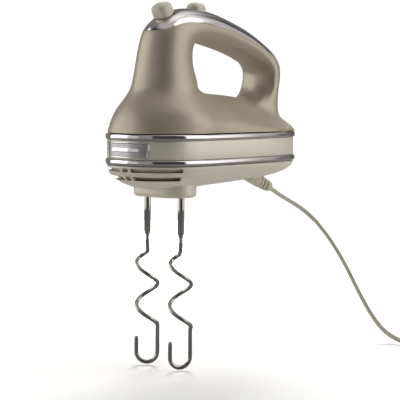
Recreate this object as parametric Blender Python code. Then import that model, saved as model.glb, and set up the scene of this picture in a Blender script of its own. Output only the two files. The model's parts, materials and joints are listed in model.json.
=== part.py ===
"""Hand mixer with two dough hooks, a loop handle and two chrome trim strips.

Lengths are written in millimetres and turned into metres when a mesh is made.  The datum frame has
its origin at the middle of the trim band: +X to the mixer's left hand side, -Y towards the nose, +Z up.
One empty carries that frame, so that the scene's origin falls in the middle of the hand grip.
"""
import math

import bmesh
import bpy
import numpy as np
from mathutils import Matrix, Vector

MM = 0.001
GAP = 0.3                      # running and touching clearance between pieces

# Grip centre in the datum frame, which becomes the scene's origin
GRIP = (0.0, 20.0, 104.0)

# Plan outline of the trim strips: a bullet nose and a squarer, flat-ended tail
NOSE_Y = -104.7
WIDEST_Y = -50.4
TAIL_Y = 103.6
HALF_WIDTH = 49.1
NOSE_POWER = 2.15
TAIL_POWER = 4.8
TAIL_REACH = 104.9             # where the tail curve would end if it were not cut flat

# Trim band
STRIP_HEIGHT = 5.0
STRIP_CENTRE_Z = 11.05
STRIP_PROUD = 1.3              # the strips stand this far outside the housings
STRIP_DEPTH = 3.6
WALL = 2.3

# Housings
UPPER_RIM_Z = 14.5
LOWER_RIM_Z = -14.2
HULL_DEPTH = 20.2
HULL_SLOPE = 0.043             # the underside rises towards the tail
HULL_POWER = 2.05
BOSS_Y = -50.0
BOSS_HALF = (31.0, 19.3)
BOSS_BOTTOM_Z = -43.0
MOUTH_HALF = (27.2, 15.4)      # opening in the boss's floor
PLATE_HALF = (28.3, 16.6)      # socket plate that rests inside the boss on its taper
PLATE_LOW_Z = -38.0
PLATE_HIGH_Z = -35.8

# Drive
HOOK_X = 20.0
HOOK_Y = -51.0
DRIVE_Z = 4.0
WHEEL_TEETH = 24
WHEEL_PITCH_R = 14.5
WORM_LEAD = 2 * math.pi * WHEEL_PITCH_R / WHEEL_TEETH
WORM_PITCH_R = HOOK_X - WHEEL_PITCH_R
SHAFT_R = 2.2
SHAFT_ENDS = (-24.0, 121.5)    # measured back from the hook plane
SPINDLE_R = 5.0
SPINDLE_BORE_R = 3.4
SPINDLE_TOP_Z = 13.2
SPINDLE_BOTTOM_Z = -42.6
BUSH_R = 6.7

# Dough hooks
SLEEVE_R = 3.0
SLEEVE_TOP_Z = -16.0
SLEEVE_BOTTOM_Z = -78.3
WIRE_R = 1.8
COIL_R = 9.6
COIL_PITCH = 38.5
HOOK_BEND_R = 9.6
HOOK_LOW_Z = -197.5
LEFT_HOOK_TURN = math.radians(62)
RIGHT_HOOK_TURN = math.radians(38)

# Controls
BUTTON_TILT = math.radians(26)
BUTTON_AT = (0.0, -52.8, 117.8)
BUTTON_HALF = (8.5, 8.1)
BUTTON_HEIGHT = 11.4
KNOB_AT = (0.0, -8.6, 125.2)

# Cord
CORD_D = 5.2
FLOOR_Z = -198.5
GLAND_ROOT = (0.0, 78.0, -31.4)
GLAND_TIP = (0.0, 104.2, -42.3)
RING_CENTRE = (168.0, 158.0)
RING_R = 5.5 * CORD_D
RING_WIDE = 3
RING_HIGH = 2
LIE_Z = FLOOR_Z + CORD_D / 2
CORD_ROUTE = [
    (0.0, 104.6, -42.5), (0.0, 118.0, -48.9), (0.6, 131.0, -54.9), (3.0, 143.0, -60.8),
    (8.5, 154.5, -69.2), (17.0, 165.0, -82.0), (28.0, 173.5, -100.0), (40.0, 180.0, -122.0),
    (52.0, 184.8, -146.0), (65.0, 188.0, -168.0), (81.0, 190.3, -186.0), (101.0, 191.6, -194.6),
    (125.0, 191.8, LIE_Z), (149.0, 191.8, LIE_Z),
]
PLUG_X = RING_CENTRE[0] + RING_R + CORD_D
PLUG_BACK_Y = 108.0
PLUG_HALF = (17.6, 6.85)       # half width and half height of the flat two-pin plug
PLUG_LENGTH = 35.0
PLUG_COLLAR = 10.0
PIN_R = 2.0
PIN_LENGTH = 19.0
PIN_SPACING = 18.6

materials = {}


def clear_scene():
    """Remove whatever objects the file starts with."""
    for item in list(bpy.data.objects):
        bpy.data.objects.remove(item, do_unlink=True)


def material(name, colour, roughness, metallic=0.0):
    """One Principled material per name, made on first use."""
    if name not in materials:
        mat = bpy.data.materials.new(name)
        mat.use_nodes = True
        shader = mat.node_tree.nodes["Principled BSDF"]
        shader.inputs["Base Color"].default_value = (*colour, 1.0)
        shader.inputs["Roughness"].default_value = roughness
        shader.inputs["Metallic"].default_value = metallic
        mat.diffuse_color = (*colour, 1.0)
        materials[name] = mat
    return materials[name]


def taupe_paint():
    return material("taupe_paint", (0.37, 0.33, 0.26), 0.35)


def cream_plastic():
    return material("cream_plastic", (0.55, 0.50, 0.41), 0.4)


def chrome():
    return material("chrome", (0.80, 0.79, 0.78), 0.08, 1.0)


def steel():
    return material("steel", (0.56, 0.55, 0.54), 0.25, 1.0)


def copper():
    return material("copper", (0.72, 0.38, 0.22), 0.35, 1.0)


def carbon():
    return material("carbon", (0.04, 0.04, 0.045), 0.6)


def brass():
    return material("brass", (0.72, 0.55, 0.26), 0.3, 1.0)


def grey_nylon():
    return material("grey_nylon", (0.30, 0.30, 0.31), 0.55)


def white_nylon():
    return material("white_nylon", (0.80, 0.79, 0.75), 0.5)


def board_green():
    return material("board_green", (0.05, 0.22, 0.10), 0.5)


def empty(name, at, parent=None):
    """A plain axes empty, placed in millimetres relative to its parent."""
    item = bpy.data.objects.new(name, None)
    item.empty_display_size = 0.01
    item.location = Vector(at) * MM
    item.parent = parent
    bpy.context.collection.objects.link(item)
    return item


def add_object(name, bm, mat, parent, at=(0, 0, 0)):
    """Turn a bmesh in millimetres, drawn in the parent's frame, into a metre-sized object at a point."""
    bmesh.ops.translate(bm, verts=bm.verts, vec=-Vector(at))
    bmesh.ops.scale(bm, verts=bm.verts, vec=(MM, MM, MM))
    mesh = bpy.data.meshes.new(name)
    bm.to_mesh(mesh)
    bm.free()
    item = bpy.data.objects.new(name, mesh)
    bpy.context.collection.objects.link(item)
    item.parent = parent
    item.location = Vector(at) * MM
    if mat is not None:
        mesh.materials.append(mat)
        mesh.shade_smooth()
        mesh.set_sharp_from_angle(angle=math.radians(35))
    return item


def cutter(name, bm, parent):
    """A hidden tool body for a Boolean."""
    item = add_object(name, bm, None, parent)
    item.hide_render = True
    item.display_type = "WIRE"
    return item


def boolean(item, tool, operation):
    """Cut, join or intersect with the exact solver."""
    mod = item.modifiers.new(tool.name, "BOOLEAN")
    mod.operation = operation
    mod.solver = "EXACT"
    mod.object = tool
    return mod


def bevel(item, width, segments=2, angle=40):
    """Round the edges sharper than an angle."""
    mod = item.modifiers.new("rounding", "BEVEL")
    mod.width = width * MM
    mod.segments = segments
    mod.limit_method = "ANGLE"
    mod.angle_limit = math.radians(angle)
    return mod


def polygon(bm, points):
    """One face through points given in order."""
    return bm.faces.new([bm.verts.new(p) for p in points])


def prism(bm, points, offset):
    """Extrude a flat outline of 3D points by a vector."""
    face = polygon(bm, points)
    made = bmesh.ops.extrude_face_region(bm, geom=[face])
    moved = [g for g in made["geom"] if isinstance(g, bmesh.types.BMVert)]
    bmesh.ops.translate(bm, verts=moved, vec=offset)
    bmesh.ops.recalc_face_normals(bm, faces=bm.faces)


def block(bm, low, high):
    """A box between two corners."""
    outline = [(low[0], low[1], low[2]), (high[0], low[1], low[2]),
               (high[0], high[1], low[2]), (low[0], high[1], low[2])]
    prism(bm, outline, (0, 0, high[2] - low[2]))


def turned(bm, profile, segments, axis="Z", at=(0, 0, 0), closed=False):
    """Spin a (radius, height) profile about an axis through a point; closed profiles make rings."""
    verts = [bm.verts.new((r, 0, h)) for r, h in profile]
    pairs = list(zip(verts, verts[1:]))
    if closed:
        pairs.append((verts[-1], verts[0]))
    edges = [bm.edges.new(pair) for pair in pairs]
    bmesh.ops.spin(bm, geom=verts + edges, cent=(0, 0, 0), axis=(0, 0, 1),
                   angle=2 * math.pi, steps=segments, use_merge=True)
    bmesh.ops.remove_doubles(bm, verts=bm.verts, dist=1e-4)
    turn = {"Z": Matrix.Identity(4), "Y": Matrix.Rotation(-math.pi / 2, 4, "X"),
            "X": Matrix.Rotation(math.pi / 2, 4, "Y")}[axis]
    bmesh.ops.transform(bm, matrix=Matrix.Translation(at) @ turn, verts=bm.verts)
    bmesh.ops.recalc_face_normals(bm, faces=bm.faces)


def ring(bm, outer_r, inner_r, low, high, segments, axis="Z", at=(0, 0, 0)):
    """A plain bush or tube."""
    profile = [(outer_r, high), (outer_r, low), (inner_r, low), (inner_r, high)]
    turned(bm, profile, segments, axis, at, closed=True)


def rod(bm, radius, low, high, segments, axis="Z", at=(0, 0, 0)):
    """A plain round bar."""
    turned(bm, [(0, high), (radius, high), (radius, low), (0, low)], segments, axis, at)


def smooth_route(points, step):
    """Points along a Catmull-Rom curve through a hand-chosen route, about one step apart."""
    pts = [Vector(p) for p in points]
    pts = [2 * pts[0] - pts[1]] + pts + [2 * pts[-1] - pts[-2]]
    out = []
    for a, b, c, d in zip(pts, pts[1:], pts[2:], pts[3:]):
        count = max(1, round((c - b).length / step))
        for k in range(count):
            t = k / count
            out.append(0.5 * (2 * b + (c - a) * t + (2 * a - 5 * b + 4 * c - d) * t * t
                              + (3 * b - a - 3 * c + d) * t ** 3))
    out.append(pts[-2])
    return out


def tube(name, points, radius, mat, parent, resolution=2, at=(0, 0, 0)):
    """A round bar along points: a poly curve with a bevel and filled ends."""
    curve = bpy.data.curves.new(name, "CURVE")
    curve.dimensions = "3D"
    curve.bevel_depth = radius * MM
    curve.bevel_resolution = resolution
    curve.use_fill_caps = True
    spline = curve.splines.new("POLY")
    spline.points.add(len(points) - 1)
    for slot, p in zip(spline.points, points):
        slot.co = (*((Vector(p) - Vector(at)) * MM), 1.0)
        slot.tilt = 0.0
    spline.use_smooth = True
    curve.materials.append(mat)
    item = bpy.data.objects.new(name, curve)
    item.parent = parent
    item.location = Vector(at) * MM
    bpy.context.collection.objects.link(item)
    return item


# ---------------------------------------------------------------- plan outline

def half_width_at(y, inset=0.0):
    """Half width of the plan outline, moved inwards by an inset, at one station."""
    width = HALF_WIDTH - inset
    if y < WIDEST_Y:
        t = (WIDEST_Y - y) / (WIDEST_Y - NOSE_Y - inset)
        power = NOSE_POWER
    else:
        t = (y - WIDEST_Y) / (TAIL_REACH - WIDEST_Y - inset)
        power = TAIL_POWER
    return width * max(0.0, 1 - min(1.0, t) ** power) ** (1 / power)


def outline_point(angle, inset=0.0):
    """Plan outline point; angle 0 is at +X, a quarter turn is the tail."""
    c, s = math.cos(angle), math.sin(angle)
    width = HALF_WIDTH - inset
    if s < 0:
        power, reach = NOSE_POWER, WIDEST_Y - NOSE_Y - inset
    else:
        power, reach = TAIL_POWER, TAIL_REACH - WIDEST_Y - inset
    x = width * math.copysign(abs(c) ** (2 / power), c)
    y = WIDEST_Y + reach * math.copysign(abs(s) ** (2 / power), s)
    return x, min(y, TAIL_Y - inset)


def plan_outline(inset, nose_steps=26, tail_steps=34):
    """The whole outline, evenly stepped in angle over the nose and over the tail."""
    nose = [outline_point(math.pi + math.pi * k / nose_steps, inset) for k in range(nose_steps)]
    tail = []
    for k in range(tail_steps):
        t = k / tail_steps
        spread = math.pi * (t + 0.055 * math.sin(4 * math.pi * t))
        tail.append(outline_point(spread, inset))
    return nose + tail


def outline_ring(bm, layers):
    """Bridge closed outlines, given as (inset, z), into a ring with a closed section."""
    loops = []
    for inset, z in layers:
        loops.append([bm.verts.new((x, y, z)) for x, y in plan_outline(inset)])
    for lower, upper in zip(loops, loops[1:] + loops[:1]):
        n = len(lower)
        for i in range(n):
            j = (i + 1) % n
            bm.faces.new((lower[i], lower[j], upper[j], upper[i]))
    bmesh.ops.recalc_face_normals(bm, faces=bm.faces)


# ---------------------------------------------------------------- trim band

def build_trim_strip(name, centre_z, root):
    """A half-round chrome strip around the body."""
    half = STRIP_HEIGHT / 2
    bm = bmesh.new()
    outline_ring(bm, [(STRIP_DEPTH, centre_z - half), (0.5, centre_z - half),
                      (0.0, centre_z - 0.6 * half), (0.0, centre_z + 0.6 * half),
                      (0.5, centre_z + half), (STRIP_DEPTH, centre_z + half)])
    return add_object(name, bm, chrome(), root)


def build_middle_band(root):
    """The plain band between the strips."""
    half = STRIP_CENTRE_Z - STRIP_HEIGHT / 2 - GAP
    bm = bmesh.new()
    outline_ring(bm, [(STRIP_PROUD + WALL, -half), (STRIP_PROUD, -half),
                      (STRIP_PROUD, half), (STRIP_PROUD + WALL, half)])
    return add_object("middle_band", bm, cream_plastic(), root)


def build_badge(root):
    """A blank plate curved round the nose, proud of the band."""
    half_height, reach, back, front = 7.1, 24.0, STRIP_PROUD - GAP, STRIP_PROUD - 1.9
    steps = 14
    bm = bmesh.new()
    columns = []
    for k in range(steps + 1):
        x = reach * math.sin(math.pi / 2 * (2 * k / steps - 1))
        column = []
        for inset in (back, front):
            t = abs(x) / (HALF_WIDTH - inset)
            y = WIDEST_Y - (WIDEST_Y - NOSE_Y - inset) * (1 - t ** NOSE_POWER) ** (1 / NOSE_POWER)
            column += [(x, y, -half_height), (x, y, half_height)]
        columns.append([bm.verts.new(p) for p in column])
    for a, b in zip(columns, columns[1:]):
        for i, j in ((0, 1), (1, 3), (3, 2), (2, 0)):
            bm.faces.new((a[i], a[j], b[j], b[i]))
    for column in (columns[0], columns[-1]):
        bm.faces.new((column[0], column[1], column[3], column[2]))
    bmesh.ops.recalc_face_normals(bm, faces=bm.faces)
    return add_object("front_badge", bm, steel(), root)


# ---------------------------------------------------------------- upper housing

# Surface points of the lower skirt, one column per place round the half outline from nose to tail.
# Each column is (station y on the rim, then x, y, z of the shoulder rows).
SKIRT = [
    (-103.4, (0.0, -100.6, 25.0), (0.0, -93.8, 37.0)),
    (-95.5, (25.8, -92.8, 25.0), (22.8, -86.8, 37.0)),
    (-62.0, (46.0, -61.0, 25.0), (39.6, -58.0, 37.0)),
    (-30.0, (46.5, -29.0, 24.5), (36.0, -22.0, 37.0)),
    (2.0, (45.8, 3.0, 23.5), (31.5, 5.0, 34.5)),
    (35.0, (44.9, 35.0, 22.0), (32.0, 35.0, 29.6)),
    (62.0, (43.6, 61.5, 20.8), (33.0, 61.0, 27.0)),
    (85.0, (40.0, 83.5, 20.4), (31.5, 81.5, 27.0)),
    (99.5, (26.8, 97.0, 20.8), (21.0, 91.6, 27.4)),
    (102.3, (0.0, 99.8, 21.4), (0.0, 94.8, 28.6)),
]
# Rings of the loop handle from the stem's base, up, back and down to the rear post's base:
# outer (y, z), inner (y, z), half width
LOOP = [
    ((-84.3, 49.5), (-16.5, 50.5), 29.8),
    ((-80.7, 59.0), (-21.4, 59.0), 26.5),
    ((-78.3, 71.0), (-25.0, 70.0), 24.5),
    ((-76.0, 84.0), (-26.3, 80.0), 23.0),
    ((-73.3, 95.0), (-25.0, 88.5), 22.3),
    ((-69.0, 105.0), (-20.5, 94.5), 22.0),
    ((-60.0, 114.0), (-12.0, 96.2), 21.5),
    ((-44.0, 121.8), (-2.0, 94.7), 21.0),
    ((-24.0, 125.2), (10.0, 92.2), 20.5),
    ((2.0, 123.2), (23.0, 89.5), 20.0),
    ((28.0, 117.0), (36.0, 86.7), 19.6),
    ((52.0, 109.5), (50.0, 83.0), 19.2),
    ((76.0, 98.6), (64.0, 78.6), 19.2),
    ((93.0, 86.5), (75.0, 74.0), 19.6),
    ((100.5, 75.0), (79.6, 67.5), 20.0),
    ((100.8, 62.0), (79.0, 60.0), 20.0),
    ((98.0, 50.5), (76.0, 52.0), 20.6),
    ((94.8, 41.0), (70.5, 45.2), 22.0),
]
DECK_EDGE = [(14.5, 5.0, 45.0), (15.5, 37.0, 42.0)]
DECK_RIDGE = [(0.0, 10.0, 48.6), (0.0, 40.0, 46.4)]
RING_SQUARENESS = 0.735


def loop_ring(outer, inner, half_width):
    """Five points from the outer middle round one side to the inner middle."""
    out, inn = Vector((0, *outer)), Vector((0, *inner))
    centre, arm = (out + inn) / 2, (out - inn) / 2
    side = Vector((half_width, 0, 0))
    q = RING_SQUARENESS
    return [out, centre + q * arm + q * side, centre + side, centre - q * arm + q * side, inn]


def housing_points():
    """Surface points and quads of the upper housing's skin, both sides."""
    points, keys, quads = [], {}, []

    def put(p, mirrored):
        p = (-p[0] if mirrored else p[0], p[1], p[2])
        key = tuple(round(v, 4) for v in p)
        if key not in keys:
            keys[key] = len(points)
            points.append(p)
        return keys[key]

    rings = [loop_ring(*row) for row in LOOP]
    rim = []
    for y, shoulder, _ in SKIRT:
        x = 0.0 if shoulder[0] == 0 else half_width_at(y, 1.0)
        rim.append((x, y, UPPER_RIM_Z))
    stem, post = rings[0], rings[-1]
    top_row = [*stem[:4], *DECK_EDGE, post[3], post[2], post[1], post[0]]
    rows = [rim, [c[1] for c in SKIRT], [c[2] for c in SKIRT], top_row]
    ridge = [stem[4], *DECK_RIDGE, post[4]]
    edge = [stem[3], *DECK_EDGE, post[3]]
    for mirrored in (False, True):
        for grid in (rows, [ridge, edge], list(zip(*rings))):
            for low, high in zip(grid, grid[1:]):
                for i in range(len(low) - 1):
                    quad = [low[i], low[i + 1], high[i + 1], high[i]]
                    quads.append([put(p, mirrored) for p in quad])
    return np.array([list(p) for p in points]), quads


def limit_cage(points, quads):
    """Control points whose Catmull-Clark surface passes through the given points."""
    count = len(points)
    beside = [set() for _ in range(count)]
    across = [[] for _ in range(count)]
    uses = {}
    for quad in quads:
        for k in range(4):
            a, b, c = quad[k], quad[(k + 1) % 4], quad[(k + 2) % 4]
            beside[a].add(b)
            beside[b].add(a)
            across[a].append(c)
            edge = (min(a, b), max(a, b))
            uses[edge] = uses.get(edge, 0) + 1
    border = [set() for _ in range(count)]
    for (a, b), n in uses.items():
        if n == 1:
            border[a].add(b)
            border[b].add(a)
    weights = np.zeros((count, count))
    for i in range(count):
        if border[i]:
            weights[i, i] = 4 / 6
            for j in border[i]:
                weights[i, j] = 1 / 6
            continue
        n = len(beside[i])
        total = n * n + 5 * n
        weights[i, i] = n * n / total
        for j in beside[i]:
            weights[i, j] += 4 / total
        for j in across[i]:
            weights[i, j] += 1 / total
    return np.linalg.solve(weights, points)


def housing_skin():
    """The upper housing's outer skin as an open cage."""
    points, quads = housing_points()
    cage = limit_cage(points, quads)
    bm = bmesh.new()
    verts = [bm.verts.new(p) for p in cage]
    for quad in quads:
        bm.faces.new([verts[i] for i in quad])
    bmesh.ops.recalc_face_normals(bm, faces=bm.faces)
    return bm


# Side view of the joint between the chrome cap and the housing, from the nose back
CAP_LINE = [(-95.0, 103.9), (-68.5, 104.3), (-62.0, 105.8), (-54.0, 108.7), (-45.0, 111.0),
            (-34.0, 111.9), (-20.0, 111.5), (-5.0, 110.1), (16.0, 107.0), (31.0, 103.8),
            (46.0, 99.3), (62.0, 93.8), (76.5, 88.6), (88.5, 84.6), (112.0, 76.0)]


def cap_prism(shift):
    """Everything above the joint line, moved up or down by a small shift."""
    line = smooth_route([(0, y, z) for y, z in CAP_LINE], 7.0)
    top = [(0, 112.0, 150.0), (0, -95.0, 150.0)]
    points = [(-40.0, p[1], p[2] + shift) for p in line] + [(-40.0, y, z) for _, y, z in top]
    bm = bmesh.new()
    prism(bm, points, (80.0, 0, 0))
    return bm


def rounded_square(half_x, half_y, radius, steps=4):
    """Corner-rounded rectangle outline about the origin."""
    points = []
    for k, (sx, sy) in enumerate(((1, 1), (-1, 1), (-1, -1), (1, -1))):
        for s in range(steps + 1):
            a = math.pi / 2 * (k + s / steps)
            points.append((sx * (half_x - radius) + radius * math.cos(a),
                           sy * (half_y - radius) + radius * math.sin(a)))
    return points


def button_frame():
    """Matrix of the eject button: its Z leaves the tilted front of the cap."""
    return Matrix.Translation(BUTTON_AT) @ Matrix.Rotation(BUTTON_TILT, 4, "X")


def button_body(grow, low, high):
    """The button's prism in its own frame, grown sideways."""
    bm = bmesh.new()
    outline = rounded_square(BUTTON_HALF[0] + grow, BUTTON_HALF[1] + grow, 4.6 + grow)
    prism(bm, [(x, y, low) for x, y in outline], (0, 0, high - low))
    return bm


def slot_cutter(root):
    """The slot that the speed knob's stem runs in."""
    bm = bmesh.new()
    block(bm, (-3.0, KNOB_AT[1] - 19.0, 112.0), (3.0, KNOB_AT[1] + 4.0, 140.0))
    return cutter("slot_cutter", bm, root)


def housing_shell(name, mat, root):
    """The hollow skin of the upper housing, before the cap is parted from it."""
    item = add_object(name, housing_skin(), mat, root)
    sub = item.modifiers.new("surface", "SUBSURF")
    sub.levels = 1
    sub.render_levels = 1
    wall = item.modifiers.new("wall", "SOLIDIFY")
    wall.thickness = WALL * MM
    wall.offset = -1.0
    return item


def build_upper_housing(root):
    """The painted shell with its loop handle, open below and cut away under the cap."""
    item = housing_shell("upper_housing", taupe_paint(), root)
    boolean(item, cutter("above_joint", cap_prism(-GAP / 2), root), "DIFFERENCE")
    return item


def build_handle_cap(root):
    """The chrome cap over the handle, with openings for the button and the knob's stem."""
    item = housing_shell("handle_cap", chrome(), root)
    boolean(item, cutter("cap_space", cap_prism(GAP / 2), root), "INTERSECT")
    bm = button_body(0.5, -12.0, 20.0)
    bmesh.ops.transform(bm, matrix=button_frame(), verts=bm.verts)
    boolean(item, cutter("button_opening", bm, root), "DIFFERENCE")
    boolean(item, slot_cutter(root), "DIFFERENCE")
    return item


# ---------------------------------------------------------------- lower housing

def hull_skin(bm, inset, rise, drop, angles=44, rows=7):
    """Boat-shaped underside; inset and rise make the matching inner skin."""
    half = angles // 2
    thetas = [math.pi + math.pi * k / half for k in range(half)]
    thetas += [math.pi * (t + 0.05 * math.sin(4 * math.pi * t)) for t in
               (k / half for k in range(half))]
    loops = []
    for row in range(rows):
        phi = math.radians(78) * row / (rows - 1)
        reach = math.cos(phi) ** (2 / HULL_POWER)
        depth = math.sin(phi) ** (2 / HULL_POWER) / math.sin(math.radians(78)) ** (2 / HULL_POWER)
        loop = []
        for theta in thetas:
            x, y = outline_point(theta, STRIP_PROUD + inset)
            y = y * (0.5 + 0.5 * reach)
            full = HULL_DEPTH - HULL_SLOPE * y - rise
            loop.append(bm.verts.new((x * reach, y, LOWER_RIM_Z + drop - (full + drop) * depth)))
        loops.append(loop)
    for upper, lower in zip(loops, loops[1:]):
        for i in range(angles):
            j = (i + 1) % angles
            bm.faces.new((upper[i], upper[j], lower[j], lower[i]))
    bm.faces.new(loops[-1])
    return loops[0]


def stadium(half_x, half_y, steps=7):
    """Outline with round ends left and right."""
    points = []
    for side in (1, -1):
        for k in range(steps + 1):
            a = side * math.pi * (k / steps - 0.5) if side > 0 else math.pi / 2 + math.pi * k / steps
            points.append((side * (half_x - half_y) + half_y * math.cos(a), half_y * math.sin(a)))
    return points


def boss_solid(shrink, low, high):
    """The spindle boss or, shrunk, its hollow."""
    outline = stadium(BOSS_HALF[0] - shrink, BOSS_HALF[1] - shrink)
    taper = 2.5
    bm = bmesh.new()
    layers = [(1.0, low), (0.3, low + taper / 2), (0.0, low + taper), (0.0, high)]
    loops = []
    for t, z in layers:
        scale = 1 - 2.2 * t / BOSS_HALF[0]
        squash = 1 - 2.2 * t / BOSS_HALF[1]
        loops.append([bm.verts.new((x * scale, BOSS_Y + y * squash, z)) for x, y in outline])
    for lower, upper in zip(loops, loops[1:]):
        n = len(lower)
        for i in range(n):
            j = (i + 1) % n
            bm.faces.new((lower[i], lower[j], upper[j], upper[i]))
    bm.faces.new(loops[0])
    bm.faces.new(loops[-1])
    bmesh.ops.recalc_face_normals(bm, faces=bm.faces)
    return bm


VENT_ROWS = [(-17.6, 3.4), (-24.9, 3.8)]       # middle height and opening
VENT_STRETCHES = [(94.0, 86.0), (82.5, 27.0)]  # degrees round the nose; the second is mirrored


def vent_slots():
    """Slots wrapping the nose in two rows: a short middle one and a long one on each side."""
    bm = bmesh.new()
    for z, height in VENT_ROWS:
        for start, end in VENT_STRETCHES:
            for side in ((1, -1) if start < 90 else (1,)):
                outer, inner = [], []
                for k in range(9):
                    a = math.radians(start + (end - start) * k / 8)
                    x, y = side * math.cos(a), math.sin(a)
                    outer.append((52.0 * x, WIDEST_Y - 58.0 * y, z - height / 2))
                    inner.append((30.0 * x, WIDEST_Y - 34.0 * y, z - height / 2))
                prism(bm, outer + inner[::-1], (0, 0, height))
    return bm


def hole_pins(places, radius, low, high, segments=24):
    """Upright round cutters at several places."""
    bm = bmesh.new()
    for x, y in places:
        pin = bmesh.new()
        rod(pin, radius, low, high, segments, at=(x, y, 0))
        mesh = bpy.data.meshes.new("pin")
        pin.to_mesh(mesh)
        pin.free()
        bm.from_mesh(mesh)
        bpy.data.meshes.remove(mesh)
    return bm


SCREW_AT = [(17.0, 52.0), (-17.0, 52.0)]


def build_lower_housing(root):
    """The boat-shaped lower shell with its spindle boss, vent slots and screw holes."""
    bm = bmesh.new()
    outer = hull_skin(bm, 0.0, 0.0, 0.0)
    bm.faces.new(outer)
    bmesh.ops.recalc_face_normals(bm, faces=bm.faces)
    item = add_object("lower_housing", bm, cream_plastic(), root)
    boolean(item, cutter("boss_outside", boss_solid(0.0, BOSS_BOTTOM_Z, -24.0), root), "UNION")
    bm = bmesh.new()
    inner = hull_skin(bm, WALL, WALL, 1.0)
    bm.faces.new(inner)
    bmesh.ops.recalc_face_normals(bm, faces=bm.faces)
    boolean(item, cutter("hull_hollow", bm, root), "DIFFERENCE")
    hollow = boss_solid(WALL, BOSS_BOTTOM_Z + WALL, -22.0)
    boolean(item, cutter("boss_hollow", hollow, root), "DIFFERENCE")
    boolean(item, cutter("vent_cutter", vent_slots(), root), "DIFFERENCE")
    bm = bmesh.new()
    prism(bm, [(x, BOSS_Y + y, -50.0) for x, y in stadium(*MOUTH_HALF)], (0, 0, 12.0))
    boolean(item, cutter("boss_mouth", bm, root), "DIFFERENCE")
    screws = hole_pins(SCREW_AT, 3.8, -36.0, -26.0, 16)
    boolean(item, cutter("screw_holes", screws, root), "DIFFERENCE")
    start, tip = Vector(GLAND_ROOT), Vector(GLAND_TIP)
    axis = (tip - start).normalized()
    bm = bmesh.new()
    rod(bm, 6.3, -16.0, 24.0, 16)
    turn = axis.to_track_quat("Z", "Y").to_matrix().to_4x4()
    bmesh.ops.transform(bm, matrix=Matrix.Translation(start) @ turn, verts=bm.verts)
    boolean(item, cutter("gland_hole", bm, root), "DIFFERENCE")
    return item


def build_socket_plate(root):
    """Plate behind the boss's mouth that carries the two spindle bushes."""
    bm = bmesh.new()
    thickness = PLATE_HIGH_Z - PLATE_LOW_Z
    prism(bm, [(x, BOSS_Y + y, PLATE_LOW_Z) for x, y in stadium(*PLATE_HALF)], (0, 0, thickness))
    item = add_object("socket_plate", bm, cream_plastic(), root)
    holes = hole_pins([(HOOK_X, HOOK_Y), (-HOOK_X, HOOK_Y)], BUSH_R + GAP, -50.0, -30.0)
    boolean(item, cutter("socket_holes", holes, root), "DIFFERENCE")
    return item


def build_screws(root):
    """Two pan-head screws that close the lower housing."""
    for (x, y), side in zip(SCREW_AT, ("left", "right")):
        head = LOWER_RIM_Z - HULL_DEPTH + HULL_SLOPE * y + 0.6
        bm = bmesh.new()
        turned(bm, [(0, head + 24), (1.5, head + 23), (1.5, head + 2.2), (3.3, head + 2.2),
                    (3.3, head + 0.8), (2.4, head), (0, head)], 14, at=(x, y, 0))
        add_object(f"housing_screw_{side}", bm, steel(), root)


# ---------------------------------------------------------------- drive

def build_spindle(side, axis):
    """Hollow steel spindle that takes a hook's shank."""
    bm = bmesh.new()
    ring(bm, SPINDLE_R, SPINDLE_BORE_R, SPINDLE_BOTTOM_Z, SPINDLE_TOP_Z, 20)
    return add_object(f"{side}_spindle", bm, steel(), axis)


def build_worm_wheel(side, phase, axis):
    """A nylon worm wheel, its teeth leaning with the worm's thread."""
    tip_r, root_r, half, bore_r = WHEEL_PITCH_R + 1.2, WHEEL_PITCH_R - 1.7, 3.5, SPINDLE_R + 0.35
    lean = half * math.tan(math.atan(WORM_LEAD / (2 * math.pi * WORM_PITCH_R))) / WHEEL_PITCH_R
    pitch = 2 * math.pi / WHEEL_TEETH
    shape = [(-0.27, root_r), (-0.12, tip_r), (0.12, tip_r), (0.27, root_r)]
    bm = bmesh.new()
    rims, bores = [], []
    for z, twist in ((-half, -lean), (half, lean)):
        rim, bore = [], []
        for tooth in range(WHEEL_TEETH):
            middle = phase + tooth * pitch + twist
            for share, r in shape:
                a = middle + share * pitch
                rim.append(bm.verts.new((r * math.cos(a), r * math.sin(a), DRIVE_Z + z)))
            bore.append(bm.verts.new((bore_r * math.cos(middle), bore_r * math.sin(middle),
                                      DRIVE_Z + z)))
        rims.append(rim)
        bores.append(bore)
    total = 4 * WHEEL_TEETH
    for rim, bore in zip(rims, bores):
        for tooth in range(WHEEL_TEETH):
            following = (tooth + 1) % WHEEL_TEETH
            teeth = [rim[(4 * tooth + k) % total] for k in range(5)]
            for a, b in zip(teeth[:4], teeth[1:]):
                target = bore[tooth]
                bm.faces.new((a, b, target))
            bm.faces.new((teeth[4], bore[following], bore[tooth]))
    for i in range(total):
        j = (i + 1) % total
        bm.faces.new((rims[0][i], rims[0][j], rims[1][j], rims[1][i]))
    for i in range(WHEEL_TEETH):
        j = (i + 1) % WHEEL_TEETH
        bm.faces.new((bores[0][i], bores[0][j], bores[1][j], bores[1][i]))
    bmesh.ops.recalc_face_normals(bm, faces=bm.faces)
    return add_object(f"{side}_worm_wheel", bm, white_nylon(), axis)


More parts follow.
